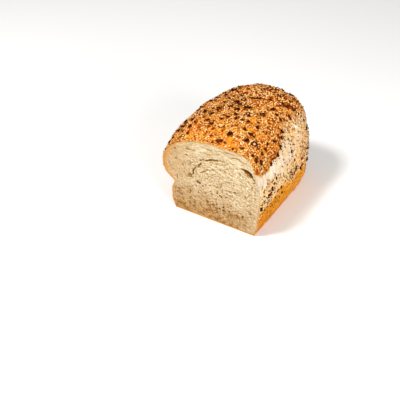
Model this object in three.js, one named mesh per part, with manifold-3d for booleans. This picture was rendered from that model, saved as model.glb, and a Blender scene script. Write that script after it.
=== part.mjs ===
// Everything sourdough loaf: a tin-baked loaf with a domed top that leans over
// its left side, cut straight across at the front, with a thin sheet of seeds
// rolled into the crumb. Millimetres, +Z up. The origin is at the middle of the
// loaf's outline on the surface it stands on, and the cut faces -Y.
import * as THREE from 'three';
import { mergeVertices } from 'three/addons/utils/BufferGeometryUtils.js';
import Module from 'manifold-3d';

const wasm = await Module();
wasm.setup();

// ---- whole loaf ----
const LENGTH = 176;          // from the cut to the furthest bulge of the dome's back
const BODY_SHORT = 5;        // the tin-sided body ends this much before the dome
const HUB_Z = 50;            // height of the axis that the sections turn about at the cut
const HUB_Z_BACK = 60;       // the same axis at the back crust
const RISE_RUN = 42.7;       // distance over which the dome swells behind the cut
const SIDE_TAPER = 0.035;    // how much narrower the loaf is at the back
const FOOT_TAPER = 5;        // extra narrowing of the right side at the back

// ---- domed top: at the cut, and behind it ----
const DOME_CUT = { x: 12, z: 64, left: 84.5, right: 46, top: 47, low: 37, bendL: 2.15, bendR: 4.0 };
const DOME_MID = { x: -4, z: 66, left: 77, right: 64.9, top: 58, low: 41, bendL: 2.2, bendR: 2.32 };

// ---- lower body, as wide as the tin ----
const BODY_LEFT = 59;        // half width to the left of the axis at the cut
const BODY_LEFT_SWELL = 4;   // how much wider the left side is behind the cut
const BODY_RIGHT = 64;       // half width to the right
const BODY_TOP = 82;         // height at which the body is lost in the dome
const BODY_TOP_DROP = 14;    // how much lower that is at the back
const BODY_BULGE = 1.6;      // swell of the right side at mid height
const FOOT_IN = 4.5;         // how far the walls draw in at the foot
const FOOT_HIGH = 14;        // height over which they do
const BREAK_DEPTH = 8.5;     // draw-in of the right wall along the torn band under the dome
const WAIST_LEFT = 4.5;      // draw-in of the left wall under the overhanging dome
const SEAM = 4;              // softness of the seam between body and dome

// ---- rounded back end, of the dome and of the body ----
const DOME_RUN = 70, DOME_P = 2.135, DOME_Q = 2.535;   // length, onset, squareness
const BODY_RUN = 60, BODY_P = 2.95, BODY_Q = 2.6;

// ---- sheet of seeds rolled into the crumb ----
const ROLL_X = 12, ROLL_Z = 58;      // middle of the roll on the cut
const ROLL_A = 48, ROLL_B = 34.5;    // its half width and half height
const ROLL_N = 2.6;                  // squareness of its turns
const ROLL_TILT = 4;                 // degrees
const ROLL_FROM = 26, ROLL_TO = 325; // degrees, from the right over the top to the bottom
const ROLL_SHRINK = 0.53;            // how much smaller the last turn is
const ROLL_SHRINK_POW = 1.8;
const ROLL_DEEP = 138;               // how far it runs into the loaf
const ROLL_NARROWS = 0.3;            // how much smaller it gets on the way
const SHEET_HALF = 0.6;              // half thickness of the sheet
const FIT_GAP = 0.3;                 // clearance to the crumb on each side
const POCKET_WIDE = 3.0;             // width of the crescent hole beside the sheet
const POCKET_FROM = 20, POCKET_TO = 74;  // degrees
const POCKET_DEEP = 26;              // depth of the hole

// ---- facets ----
const AROUND = 88, ALONG = 15, END_RINGS = 22, FAN_Z = 68, ROLL_STEPS = 34, ROLL_RINGS = 6;

const clamp01 = (v) => Math.min(1, Math.max(0, v));
const mix = (a, b, t) => a + (b - a) * t;
const smooth = (a, b, x) => {
  const t = clamp01((x - a) / (b - a));
  return t * t * (3 - 2 * t);
};
const softMin = (a, b, k) => {
  const h = clamp01(0.5 + (0.5 * (b - a)) / k);
  return b * (1 - h) + a * h - k * h * (1 - h);
};

// Signed measure of the bread: negative inside. x runs across the loaf, y back
// from the cut, z up from the foot.
function breadField(x, y, z) {
  const g = Math.sin((Math.PI / 2) * clamp01(y / RISE_RUN));
  const part = (k) => mix(DOME_CUT[k], DOME_MID[k], g);
  const kd = clamp01((y - (LENGTH - DOME_RUN)) / DOME_RUN);
  const dome = Math.max(0.02, Math.max(1e-9, 1 - kd ** DOME_P) ** (1 / DOME_Q));
  const bodyLong = LENGTH - BODY_SHORT;
  const kb = clamp01((y - (bodyLong - BODY_RUN)) / BODY_RUN);
  const plan = Math.max(0.02, Math.max(1e-9, 1 - kb ** BODY_P) ** (1 / BODY_Q));
  const along = clamp01(y / LENGTH);
  const taper = 1 - SIDE_TAPER * along;
  const hub = mix(HUB_Z, HUB_Z_BACK, kd);

  const dx = x / dome / taper - part('x');
  const dz = HUB_Z + (z - hub) / dome - part('z');
  const a = dx < 0 ? part('left') : part('right');
  const b = dz > 0 ? part('top') : part('low');
  const n = dx < 0 ? part('bendL') : part('bendR');
  const rr = Math.hypot(dx, dz) + 1e-9;
  const R = ((Math.abs(dx) / rr / a) ** n + (Math.abs(dz) / rr / b) ** n) ** (-1 / n);
  const domeField = Math.max((rr - R) * dome, y - LENGTH);

  const foot = FOOT_IN * (1 - smooth(0, FOOT_HIGH, z));
  const right = BODY_RIGHT - foot + BODY_BULGE * Math.exp(-(((z - 54) / 16) ** 2))
    - BREAK_DEPTH * smooth(60, 92, z) - FOOT_TAPER * along ** 2 * (1 - smooth(20, 95, z));
  const left = BODY_LEFT + BODY_LEFT_SWELL * g - foot - WAIST_LEFT * smooth(28, 44, z);
  const xb = x / plan / taper;
  const bodyField = Math.max(Math.max(xb - right, -xb - left) * plan, z - (BODY_TOP - BODY_TOP_DROP * kb ** 2),
    y - bodyLong + 2 * (1 - smooth(0, FOOT_HIGH, z)));
  return softMin(domeField, bodyField, SEAM);
}

// Where a ray from inside the loaf meets the crust.
function crustPoint(o, d) {
  let lo = 3, hi = 125;
  for (let i = 0; i < 30; i++) {
    const m = (lo + hi) / 2;
    if (breadField(o[0] + d[0] * m, o[1] + d[1] * m, o[2] + d[2] * m) < 0) lo = m; else hi = m;
  }
  const m = (lo + hi) / 2;
  return [o[0] + d[0] * m, o[1] + d[1] * m, o[2] + d[2] * m];
}

// Directions round the section, evenly spaced along its outline above the foot.
function directions() {
  const fine = 2000, down = 20;
  const ang = (i) => -Math.PI / 2 + (i / fine) * 2 * Math.PI;
  const pts = [];
  for (let i = 0; i <= fine; i++) pts.push(crustPoint([0, 0, HUB_Z], [Math.cos(ang(i)), 0, Math.sin(ang(i))]));
  const len = [0];
  for (let i = 1; i <= fine; i++) {
    const above = pts[i][2] > -2 && pts[i - 1][2] > -2;
    len.push(len[i - 1] + (above ? Math.hypot(pts[i][0] - pts[i - 1][0], pts[i][2] - pts[i - 1][2]) : 0));
  }
  const list = [];
  const n = AROUND - down;
  const first = pts.findIndex((p) => p[2] > -2);
  for (let k = 0, i = first; k < n; k++) {
    const want = (len[fine] * k) / (n - 1);
    while (i < fine && len[i] < want) i++;
    list.push(ang(i));
  }
  const from = list[n - 1], to = list[0] + 2 * Math.PI;
  for (let k = 1; k <= down; k++) list.push(from + ((to - from) * k) / (down + 1));
  return list;
}

function loafShell() {
  const dirs = directions();
  const turn = LENGTH - DOME_RUN;
  const pos = [], tri = [];
  const rings = ALONG + END_RINGS;
  for (let j = 0; j < rings; j++) {
    const t = Math.max(0, j - ALONG) / END_RINGS;
    const lift = (Math.PI / 2) * t;
    const y = j < ALONG ? turn * (j / ALONG) ** 1.25 : turn;
    for (const f of dirs) {
      const c = Math.cos(f), w = Math.sin(f);
      pos.push(...crustPoint([0, y, mix(HUB_Z, FAN_Z, t)], [c * Math.cos(lift), Math.sin(lift), w * Math.cos(lift)]));
    }
  }
  const front = pos.length / 3;
  pos.push(0, 0, HUB_Z);
  const back = front + 1;
  pos.push(...crustPoint([0, turn, FAN_Z], [0, 1, 0]));
  const at = (j, i) => j * AROUND + (i % AROUND);
  for (let i = 0; i < AROUND; i++) {
    tri.push(front, at(0, i), at(0, i + 1));
    for (let j = 0; j < rings - 1; j++) {
      tri.push(at(j, i), at(j + 1, i), at(j + 1, i + 1), at(j, i), at(j + 1, i + 1), at(j, i + 1));
    }
    tri.push(at(rings - 1, i), back, at(rings - 1, i + 1));
  }
  return shell(pos, tri);
}

// One point of the roll's middle line on the section at depth y.
function rollPoint(deg, y) {
  const t = Math.max(0, (deg - 20) / (ROLL_TO - 20));
  const f = 1 - ROLL_SHRINK * t ** ROLL_SHRINK_POW;
  const th = THREE.MathUtils.degToRad(deg);
  const pw = (v) => Math.sign(v) * Math.abs(v) ** (2 / ROLL_N);
  const k = 1 - ROLL_NARROWS * Math.min(1, Math.max(0, y) / ROLL_DEEP) ** 1.6;
  const u = ROLL_A * f * pw(Math.cos(th)) * k, v = ROLL_B * f * pw(Math.sin(th)) * k;
  const tilt = THREE.MathUtils.degToRad(ROLL_TILT);
  return [ROLL_X * k + u * Math.cos(tilt) - v * Math.sin(tilt), ROLL_Z + u * Math.sin(tilt) + v * Math.cos(tilt)];
}

// A curved sheet that follows the roll: out and in are its half thicknesses.
function rollSheet(y0, y1, out, inn, extend, pocket) {
  const pos = [], tri = [];
  const n = ROLL_STEPS + 1, ring = 2 * n;
  const lasts = [];
  for (let j = 0; j <= ROLL_RINGS; j++) {
    // closer rings where the crescent hole is
    const w = (j / ROLL_RINGS) ** 1.5;
    const y = y0 + (y1 - y0) * w;
    const outer = [], inner = [];
    for (let i = 0; i < n; i++) {
      const deg = ROLL_FROM + ((ROLL_TO - ROLL_FROM) * i) / ROLL_STEPS;
      const [x, z] = rollPoint(deg, y);
      const [xa, za] = rollPoint(deg - 0.5, y);
      const [xb, zb] = rollPoint(deg + 0.5, y);
      const l = Math.hypot(xb - xa, zb - za);
      const tx = (xb - xa) / l, tz = (zb - za) / l;
      const e = i === 0 ? -extend : i === n - 1 ? extend : 0;
      const q = Math.min(1, Math.max(0, (deg - POCKET_FROM) / (POCKET_TO - POCKET_FROM)));
      const deep = Math.max(0, 1 - (Math.max(0, y) / POCKET_DEEP) ** 2);
      const add = pocket * Math.sin(Math.PI * q ** 0.8) ** 1.5 * deep;
      outer.push([x + tx * e + tz * (out + add), z + tz * e - tx * (out + add)]);
      inner.push([x + tx * e - tz * inn, z + tz * e + tx * inn]);
    }
    for (const [x, z] of outer) pos.push(x, y, z);
    for (const [x, z] of inner) pos.push(x, y, z);
    lasts.push(j * ring);
  }
  for (let j = 0; j < ROLL_RINGS; j++) {
    const a = lasts[j], b = lasts[j + 1];
    const loop = [];
    for (let i = 0; i < n; i++) loop.push(i);
    for (let i = n - 1; i >= 0; i--) loop.push(n + i);
    for (let i = 0; i < loop.length; i++) {
      const p = loop[i], q = loop[(i + 1) % loop.length];
      tri.push(a + p, b + p, b + q, a + p, b + q, a + q);
    }
  }
  for (let i = 0; i < n - 1; i++) {
    const a = lasts[0], b = lasts[ROLL_RINGS];
    tri.push(a + i, a + i + 1, a + n + i + 1, a + i, a + n + i + 1, a + n + i);
    tri.push(b + i, b + n + i + 1, b + i + 1, b + i, b + n + i, b + n + i + 1);
  }
  return shell(pos, tri);
}

// Closed body with its faces pointing out, whichever way the loops ran.
function shell(pos, tri) {
  const geo = new THREE.BufferGeometry();
  geo.setAttribute('position', new THREE.Float32BufferAttribute(pos, 3));
  geo.setIndex(tri);
  const g = mergeVertices(geo, 1e-5);
  const p = g.attributes.position.array, ix = Array.from(g.index.array);
  let vol = 0;
  const A = new THREE.Vector3(), B = new THREE.Vector3(), C = new THREE.Vector3();
  for (let i = 0; i < ix.length; i += 3) {
    A.fromArray(p, ix[i] * 3); B.fromArray(p, ix[i + 1] * 3); C.fromArray(p, ix[i + 2] * 3);
    vol += A.dot(B.cross(C)) / 6;
  }
  if (vol < 0) for (let i = 0; i < ix.length; i += 3) [ix[i + 1], ix[i + 2]] = [ix[i + 2], ix[i + 1]];
  return new wasm.Manifold(new wasm.Mesh({ numProp: 3, vertProperties: new Float32Array(p), triVerts: new Uint32Array(ix) }));
}

function blockBelow(z) {
  const box = new THREE.BoxGeometry(400, 500, 200);
  box.deleteAttribute('normal');
  box.deleteAttribute('uv');
  box.translate(0, 80, z - 100);
  const g = mergeVertices(box);
  return shell(Array.from(g.attributes.position.array), Array.from(g.index.array));
}

function toGeometry(solid) {
  const m = solid.getMesh();
  const g = new THREE.BufferGeometry();
  const v = [];
  for (let i = 0; i < m.vertProperties.length; i += m.numProp) v.push(m.vertProperties[i], m.vertProperties[i + 1], m.vertProperties[i + 2]);
  g.setAttribute('position', new THREE.Float32BufferAttribute(v, 3));
  g.setIndex(Array.from(m.triVerts));
  return g;
}

const slot = rollSheet(-2, ROLL_DEEP + FIT_GAP, SHEET_HALF + FIT_GAP, SHEET_HALF + FIT_GAP, FIT_GAP, POCKET_WIDE);
const sheet = rollSheet(0, ROLL_DEEP, SHEET_HALF, SHEET_HALF, 0, 0);
const bread = loafShell().subtract(blockBelow(0)).subtract(slot);

const breadGeo = toGeometry(bread);
const sheetGeo = toGeometry(sheet);
breadGeo.computeBoundingBox();
const box = breadGeo.boundingBox;
const shiftX = -(box.min.x + box.max.x) / 2, shiftY = -(box.min.y + box.max.y) / 2;
for (const g of [breadGeo, sheetGeo]) {
  g.translate(shiftX, shiftY, 0);
  g.computeVertexNormals();
}

const loaf = new THREE.Mesh(breadGeo, new THREE.MeshStandardMaterial({ color: 0xd9a05a, roughness: 0.8, metalness: 0 }));
loaf.name = 'loaf';
const swirl = new THREE.Mesh(sheetGeo, new THREE.MeshStandardMaterial({ color: 0x6f5433, roughness: 0.85, metalness: 0 }));
swirl.name = 'seed_swirl';

const group = new THREE.Group();
group.add(loaf, swirl);
export default group;
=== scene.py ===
import math

import bpy
import numpy as np
from mathutils import Matrix, Vector, kdtree
from mathutils.geometry import delaunay_2d_cdt


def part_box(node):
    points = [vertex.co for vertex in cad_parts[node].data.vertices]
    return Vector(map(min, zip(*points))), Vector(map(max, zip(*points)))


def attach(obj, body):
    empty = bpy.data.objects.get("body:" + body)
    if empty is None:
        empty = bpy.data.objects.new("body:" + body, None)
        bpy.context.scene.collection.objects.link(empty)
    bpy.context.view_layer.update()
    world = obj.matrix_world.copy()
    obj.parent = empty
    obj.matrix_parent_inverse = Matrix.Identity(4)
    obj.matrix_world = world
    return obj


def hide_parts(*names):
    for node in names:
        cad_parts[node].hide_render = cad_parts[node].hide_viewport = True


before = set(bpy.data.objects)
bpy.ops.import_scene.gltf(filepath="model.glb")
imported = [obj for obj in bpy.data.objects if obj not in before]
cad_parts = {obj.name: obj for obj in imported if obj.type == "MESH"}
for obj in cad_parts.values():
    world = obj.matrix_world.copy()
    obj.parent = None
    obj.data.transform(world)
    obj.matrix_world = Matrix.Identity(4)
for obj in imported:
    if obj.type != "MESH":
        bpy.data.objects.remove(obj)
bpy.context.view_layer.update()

# The loaf is worked out in millimetres in its own frame, with x across the cut,
# y back from the cut and z up from the foot, and then moved into the row frame.
LO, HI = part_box("loaf")
LENGTH = 176.0
SHIFT_X = 7.36
SHIFT_Y = LO.y * 1000.0

# ------------------------------------------------------------------ camera
cam_data = bpy.data.cameras.new("camera")
cam = bpy.data.objects.new("camera", cam_data)
bpy.context.scene.collection.objects.link(cam)
CAM_O = np.array([459.5425, -757.1241, 674.4623])
CAM_F = np.array([-0.43166679, 0.68423116, -0.58778525])
CAM_U = np.array([-0.31362428, 0.49712304, 0.80901699])
CAM_R = np.array([0.84575622, 0.5335695, 0.0])
place = Matrix.Identity(4)
for i in range(3):
    place[i][0], place[i][1], place[i][2] = CAM_R[i], CAM_U[i], -CAM_F[i]
place[0][3] = (CAM_O[0] + SHIFT_X) / 1000
place[1][3] = (CAM_O[1] + SHIFT_Y) / 1000
place[2][3] = CAM_O[2] / 1000
cam.matrix_world = place
cam_data.sensor_width = 36.0
cam_data.lens = 81.0
cam_data.clip_start = 0.05
cam_data.clip_end = 50.0
bpy.context.scene.camera = cam

# ------------------------------------------------------------------ helpers


def step(a, b, x):
    t = np.clip((x - a) / (b - a), 0, 1)
    return t * t * (3 - 2 * t)


def soft_min(a, b, k):
    h = np.clip(0.5 + 0.5 * (b - a) / k, 0, 1)
    return b * (1 - h) + a * h - k * h * (1 - h)


def _hash(ix, iy, iz, seed):
    with np.errstate(over="ignore"):
        n = (ix.astype(np.uint32) * np.uint32(374761393) + iy.astype(np.uint32) * np.uint32(668265263)
             + iz.astype(np.uint32) * np.uint32(2246822519) + np.uint32(seed * 3266489917 & 0xFFFFFFFF))
        n = (n ^ (n >> np.uint32(13))) * np.uint32(1274126177)
        n = n ^ (n >> np.uint32(16))
        n = n * np.uint32(2654435761)
        n = n ^ (n >> np.uint32(15))
    return n.astype(np.float64) / 4294967295.0 * 2 - 1


def vnoise(p, size, seed):
    """Smooth noise from -1 to 1 with lumps of about the given size in millimetres."""
    q = p / size + 1000.0
    i = np.floor(q).astype(np.int64)
    f = q - i
    f = f * f * f * (f * (f * 6 - 15) + 10)
    out = 0
    for a in (0, 1):
        wa = f[..., 0] if a else 1 - f[..., 0]
        for b in (0, 1):
            wb = f[..., 1] if b else 1 - f[..., 1]
            for c in (0, 1):
                wc = f[..., 2] if c else 1 - f[..., 2]
                out = out + wa * wb * wc * _hash(i[..., 0] + a, i[..., 1] + b, i[..., 2] + c, seed)
    return out


def fbm(p, size, seed, octaves=3, gain=0.5):
    out, amp, total = 0, 1.0, 0
    for k in range(octaves):
        out = out + amp * vnoise(p, size / 2 ** k, seed + 17 * k)
        total += amp
        amp *= gain
    return out / total


# ------------------------------------------------------------------ the loaf's form, as in the CAD model
DOME_CUT = dict(x=12.0, z=64.0, left=84.5, right=46.0, top=47.0, low=37.0, bendL=2.15, bendR=4.0)
DOME_MID = dict(x=-4.0, z=66.0, left=77.0, right=64.9, top=58.0, low=41.0, bendL=2.2, bendR=2.32)
DOME_RUN, DOME_P, DOME_Q = 70.0, 2.135, 2.535
BODY_RUN, BODY_P, BODY_Q = 60.0, 2.95, 2.6
FAN_Z, HUB_Z = 68.0, 50.0


def bread_field(x, y, z):
    """Signed measures of the whole, of the dome and of the body: negative inside."""
    g = np.sin(np.pi / 2 * np.clip(y / 42.7, 0, 1))
    c = {k: DOME_CUT[k] + (DOME_MID[k] - DOME_CUT[k]) * g for k in DOME_CUT}
    kd = np.clip((y - (LENGTH - DOME_RUN)) / DOME_RUN, 0, 1)
    dome = np.maximum(0.02, np.maximum(1e-9, 1 - kd ** DOME_P) ** (1 / DOME_Q))
    long = LENGTH - 5.0
    kb = np.clip((y - (long - BODY_RUN)) / BODY_RUN, 0, 1)
    plan = np.maximum(0.02, np.maximum(1e-9, 1 - kb ** BODY_P) ** (1 / BODY_Q))
    along = np.clip(y / LENGTH, 0, 1)
    taper = 1 - 0.035 * along
    hub = 50.0 + 10.0 * kd
    dx = x / dome / taper - c["x"]
    dz = 50.0 + (z - hub) / dome - c["z"]
    a = np.where(dx < 0, c["left"], c["right"])
    b = np.where(dz > 0, c["top"], c["low"])
    n = np.where(dx < 0, c["bendL"], c["bendR"])
    rr = np.hypot(dx, dz) + 1e-9
    R = ((np.abs(dx) / rr / a) ** n + (np.abs(dz) / rr / b) ** n) ** (-1 / n)
    f_dome = np.maximum((rr - R) * dome, y - LENGTH)
    foot = 4.5 * (1 - step(0, 14, z))
    right = (64.0 - foot + 1.6 * np.exp(-(((z - 54) / 16) ** 2)) - 8.5 * step(60, 92, z)
             - 5.0 * along ** 2 * (1 - step(20, 95, z)))
    left = 59.0 + 4.0 * g - foot - 4.5 * step(28, 44, z)
    xb = x / plan / taper
    f_body = np.maximum(np.maximum(xb - right, -xb - left) * plan, z - (82.0 - 14.0 * kb ** 2))
    f_body = np.maximum(f_body, y - long + 2.0 * (1 - step(0, 14, z)))
    return soft_min(f_dome, f_body, 4.0), f_dome, f_body


def pixel_place(u, v):
    """Where the line of sight through a place in the picture meets the crust."""
    d_ = CAM_F + CAM_R * (u - 200) / 900 - CAM_U * (v - 200) / 900
    d_ = d_ / np.linalg.norm(d_)
    t_ = np.arange(700, 1400, 0.4)
    q_ = CAM_O + d_ * t_[:, None]
    f_ = bread_field(q_[:, 0], q_[:, 1], q_[:, 2])[0]
    ok = (f_ < 0) & (q_[:, 1] > 0.2) & (q_[:, 2] > 0)
    if not ok.any():
        return None
    return q_[int(np.argmax(ok))]


def cast(o, d, n=24):
    lo = np.full(o.shape[:-1], 3.0)
    hi = np.full(o.shape[:-1], 125.0)
    for _ in range(n):
        m = (lo + hi) / 2
        p = o + d * m[..., None]
        inside = bread_field(p[..., 0], p[..., 1], p[..., 2])[0] < 0
        lo = np.where(inside, m, lo)
        hi = np.where(inside, hi, m)
    return o + d * ((lo + hi) / 2)[..., None]


def directions(n_up, n_down):
    """Directions round the section, evenly spaced along its outline above the foot."""
    ang = -np.pi / 2 + np.linspace(0, 2 * np.pi, 4001)
    d = np.stack([np.cos(ang), 0 * ang, np.sin(ang)], -1)
    p = cast(np.tile([0, 0, HUB_Z], (len(ang), 1)), d)
    above = p[:, 2] > -0.5
    seg = np.hypot(np.diff(p[:, 0]), np.diff(p[:, 2])) * (above[1:] & above[:-1])
    length = np.concatenate([[0], np.cumsum(seg)])
    first = int(np.argmax(above))
    want = np.linspace(0, length[-1], n_up)
    up = [ang[max(first, int(np.searchsorted(length, w)))] for w in want]
    down = np.linspace(up[-1], up[0] + 2 * np.pi, n_down + 2)[1:-1]
    return np.array(up + list(down))


N_UP, N_DOWN, N_STRAIGHT, N_END = 392, 56, 118, 112
dirs = directions(N_UP, N_DOWN)
AROUND = len(dirs)
turn = LENGTH - DOME_RUN
cs, sn = np.cos(dirs), np.sin(dirs)
org, vec = [], []
for j in range(N_STRAIGHT + N_END):
    if j < N_STRAIGHT:
        org.append(np.tile([0, turn * j / N_STRAIGHT, HUB_Z], (AROUND, 1)))
        vec.append(np.stack([cs, 0 * cs, sn], -1))
    else:
        t = (j - N_STRAIGHT) / N_END
        a = np.pi / 2 * t
        org.append(np.tile([0, turn, HUB_Z + (FAN_Z - HUB_Z) * t], (AROUND, 1)))
        vec.append(np.stack([cs * np.cos(a), 0 * cs + np.sin(a), sn * np.cos(a)], -1))
org, vec = np.array(org), np.array(vec)
P = cast(org, vec)
RINGS = P.shape[0]

# outward normals of the smooth form
du = np.roll(P, -1, 1) - np.roll(P, 1, 1)
dv = np.gradient(P, axis=0)
N = np.cross(dv, du)
N /= np.linalg.norm(N, axis=-1, keepdims=True) + 1e-12
side = np.sum(N * (P - np.array([0, 80.0, 60.0])), -1)
if side.mean() < 0:
    N = -N

# ------------------------------------------------------------------ zones of the crust
_, f_dome, f_body = bread_field(P[..., 0], P[..., 1], P[..., 2])
flat = np.stack([N[..., 0], N[..., 1]], -1)
wR = np.clip(N[..., 0], 0, 1) ** 2
wL = np.clip(-N[..., 0], 0, 1) ** 2
wB = np.clip(N[..., 1], 0, 1) ** 2
ws = wR + wL + wB + 1e-6
Y, Z, X = P[..., 1], P[..., 2], P[..., 0]
zu_R = np.interp(Y, [0, 8, 17, 26, 34, 42, 51, 59, 65, 72, 80, 90, 99, 138, 176],
                 [86, 82.5, 80, 79.5, 81, 83.5, 84.5, 87, 91, 95.5, 99, 103, 105.5, 104, 94])
zl_R = np.interp(Y, [0, 1.5, 7, 20, 44, 52, 68, 77, 88, 97, 106, 116, 127, 176],
                 [56, 62, 66, 67, 66, 60, 59, 59, 61, 64, 66, 69, 71, 66])
rag = 3.0 * fbm(P, 14.0, 5, 3) + 1.2 * vnoise(P, 3.0, 6)
zu = (wR * zu_R + wL * 47.0 + wB * 78.0) / ws + rag
zl = (wR * zl_R + wL * 33.0 + wB * 62.0) / ws + rag * 0.7
upright = step(0.35, 0.75, np.hypot(N[..., 0], N[..., 1]))
# towards the back the baked dome runs out into the pale band little by little
soft = 0.8 + 12.0 * step(34, 84, Y) * np.maximum(wR, 0.6)
soft_low = 2.5 + 6.0 * step(30, 90, Y)
tear = step(-soft_low, soft_low, Z - zl) * step(-soft, soft, zu - Z) * upright
domeness = step(-soft, soft, Z - zu)
foot_top = (wR * np.interp(Y, [0, 3, 7, 17, 27, 38, 48, 58, 69, 81, 94, 106, 116, 176],
                            [22, 27, 34, 36, 37, 37.5, 39.5, 42, 42, 40, 37, 35, 34, 33]) + wL * 28.0 + wB * 31.0) / ws
foot = 1 - step(-7.0, 6.0, Z - foot_top - 8.0 * fbm(P, 12.0, 8, 3) - 3.5 * vnoise(P, 2.6, 9))
behind = step(15, 105, Y)

# ------------------------------------------------------------------ relief of the crust
lumps = 0.85 * fbm(P, 34.0, 21, 2) + 0.65 * fbm(P, 9.0, 22, 2)
pits = fbm(P, 3.6, 23, 3, 0.6)
skin = 0.40 * pits + 0.15 * vnoise(P, 1.5, 25)
# the torn band lies a little deeper, under a lip, with stretched strands across it
strand = np.stack([P[..., 0] * 0.5, P[..., 1] * 1.0 + 0.25 * P[..., 2], P[..., 2] * 0.22], -1)
strands = fbm(strand, 2.6, 31, 3, 0.6)
lip = np.exp(-(((Z - zu - 2.0) / 2.2) ** 2)) * upright * step(0.1, 0.6, wR + 0.5 * wB)
# slow swells and dents of this one loaf, along its outline as the camera sees it:
# place in the picture, height and reach in mm
sight = P - CAM_O
ahead = sight @ CAM_F
pic_u, pic_v = 200 + 900 * (sight @ CAM_R) / ahead, 200 - 900 * (sight @ CAM_U) / ahead
grazing = np.abs((N * sight).sum(-1)) / np.linalg.norm(sight, axis=-1)
for u_, v_, high_, reach_ in ((222, 91, -1.7, 10.0), (232, 86.5, -1.3, 9.0), (243, 83.5, -1.9, 9.0), (252, 82.5, -1.5, 8.0),
                              (204, 104, 2.2, 8.5), (306.0, 118, 1.2, 9.0), (293, 96.5, 1.5, 5.0), (286.5, 91, -1.3, 5.0),
                              (310.0, 140, -2.0, 9.0), (163, 151, 0.5, 8.0)):
    off_ = np.hypot(pic_u - u_, pic_v - v_)
    at_ = P.reshape(-1, 3)[int(np.argmin(np.where(off_ < 3, grazing + 0.05 * off_, 9.0)))]
    lumps = lumps + high_ * np.exp(-((P - at_) ** 2).sum(-1) / (2 * reach_ ** 2))


def patches(items):
    """Soft patches round places in the picture: place, reach in mm, strength."""
    out_ = np.zeros(P.shape[:2])
    for u_, v_, reach_, s_ in items:
        a_ = pixel_place(u_, v_)
        if a_ is not None:
            out_ = np.maximum(out_, s_ * np.exp(-((P - a_) ** 2).sum(-1) / (2 * reach_ ** 2)))
    return out_


# bare gold patches with fewer seeds; the ones low on the right of the dome are also painted light
patch_gold_and_light = patches(((176, 133, 8, 1.0), (190, 134, 10, 1.0), (203, 133, 8, 0.9), (212, 139, 8, 1.0), (200, 118, 6, 0.8), (216, 116, 5, 0.6), (226, 142, 8, 1.0), (238, 147, 6, 0.8),
                      (208, 117, 6, 0.8), (222, 121, 8, 0.8), (239, 124, 9, 0.9), (253, 121, 8, 1.0), (215, 129, 8, 1.0), (229, 131, 7, 0.9), (230, 112, 5, 0.7), (258, 108, 6, 0.8), (222, 105, 5, 0.6), (262, 138, 6, 0.8), (268, 122, 8, 1.0), (270, 157, 6, 0.8), (264, 147, 5, 0.8),
                      (276, 146, 6, 0.7), (248, 152, 4, 0.3), (257, 165, 7, 0.9), (263, 157, 6, 0.8), (244, 121, 6, 0.8), (254, 117, 5, 0.7), (280, 126, 7, 1.0), (276, 136, 6, 0.8), (268, 161, 7, 1.0), (262, 151, 6, 1.0)))
# dark toasted clumps; those along the dome's upper left edge are partly painted shade
patch_dark = patches(((239, 101, 8, 1.0), (237, 112, 6, 0.9), (248, 108, 6, 0.9), (222, 97, 9, 0.2), (214, 108, 6, 0.8), (232, 92, 8, 0.7),
                      (247, 138, 5, 0.8), (255, 144, 5, 0.6), (253, 169, 5, 0.5), (258, 161, 5, 0.4), (286, 103, 8, 0.9), (272, 110, 5, 0.6),
                      (185, 121, 6, 0.7), (178, 128, 4, 0.4), (198, 106, 6, 0.9), (206, 100, 6, 0.8), (244, 84, 9, 0.9), (226, 88, 6, 0.9), (268, 165, 4, 0.3), (294, 108, 6, 0.3)))
patch_cream = patches(((290, 157, 6, 1.0), (296, 150, 4, 0.8), (282, 163, 6, 0.9), (274, 169, 7, 0.9), (300, 137, 5, 0.8), (297, 126, 4, 0.7), (289, 144, 4, 0.7),
                       (304, 146, 4, 0.6)))
# places where it baked redder
patch_warm = patches(((304, 152, 7, 1.0), (301, 161, 7, 1.0), (296, 171, 6, 0.9), (307, 141, 5, 0.7), (289, 178, 5, 0.6), (282, 187, 5, 0.5)))
patch_rust = patches(((198, 117, 5, 1.0), (203, 113, 4, 0.7), (192, 129, 6, 0.6), (176, 139, 4, 0.6), (211, 122, 4, 0.6), (226, 111, 4, 0.6),
                      (258, 103, 5, 0.6), (262, 141, 5, 0.7), (256, 152, 6, 0.7), (271, 150, 6, 0.7), (214, 134, 4, 0.5), (240, 140, 4, 0.4)))
up_fade = step(0.5, 6.0, Z)
rel = lumps * (1 - 0.3 * tear) + skin * (1 - 0.75 * foot) * (1 - 0.6 * tear)
rel += tear * (-1.1 + 0.75 * strands) + 0.9 * lip * (1 - 0.7 * step(34, 84, Y))
rel = rel * up_fade - 0.75 - 0.55 * domeness
edge_fade = 0.35 + 0.65 * step(0.0, 3.0, Y)
move = N * (rel * edge_fade)[..., None]
move[0, :, 1] = 0.0
Q = P + move

# what lies below the surface it stands on is laid flat on it
low = Q[..., 2] < 0
t = np.where(low, (0 - org[..., 2]) / np.where(np.abs(Q[..., 2] - org[..., 2]) < 1e-9, -1e-9, Q[..., 2] - org[..., 2]), 1.0)
Q = org + (Q - org) * np.clip(t, 0, 1)[..., None]
Q[..., 2] = np.where(low, 0.0, Q[..., 2])
Q[0, :, 1] = 0.0

# ------------------------------------------------------------------ the roll of seeds
ROLL_X, ROLL_Z, ROLL_A, ROLL_B, ROLL_N = 12.0, 58.0, 48.0, 34.5, 2.6
ROLL_FROM, ROLL_TO, ROLL_DEEP = 26.0, 325.0, 138.0
TILT = math.radians(4.0)


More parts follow.
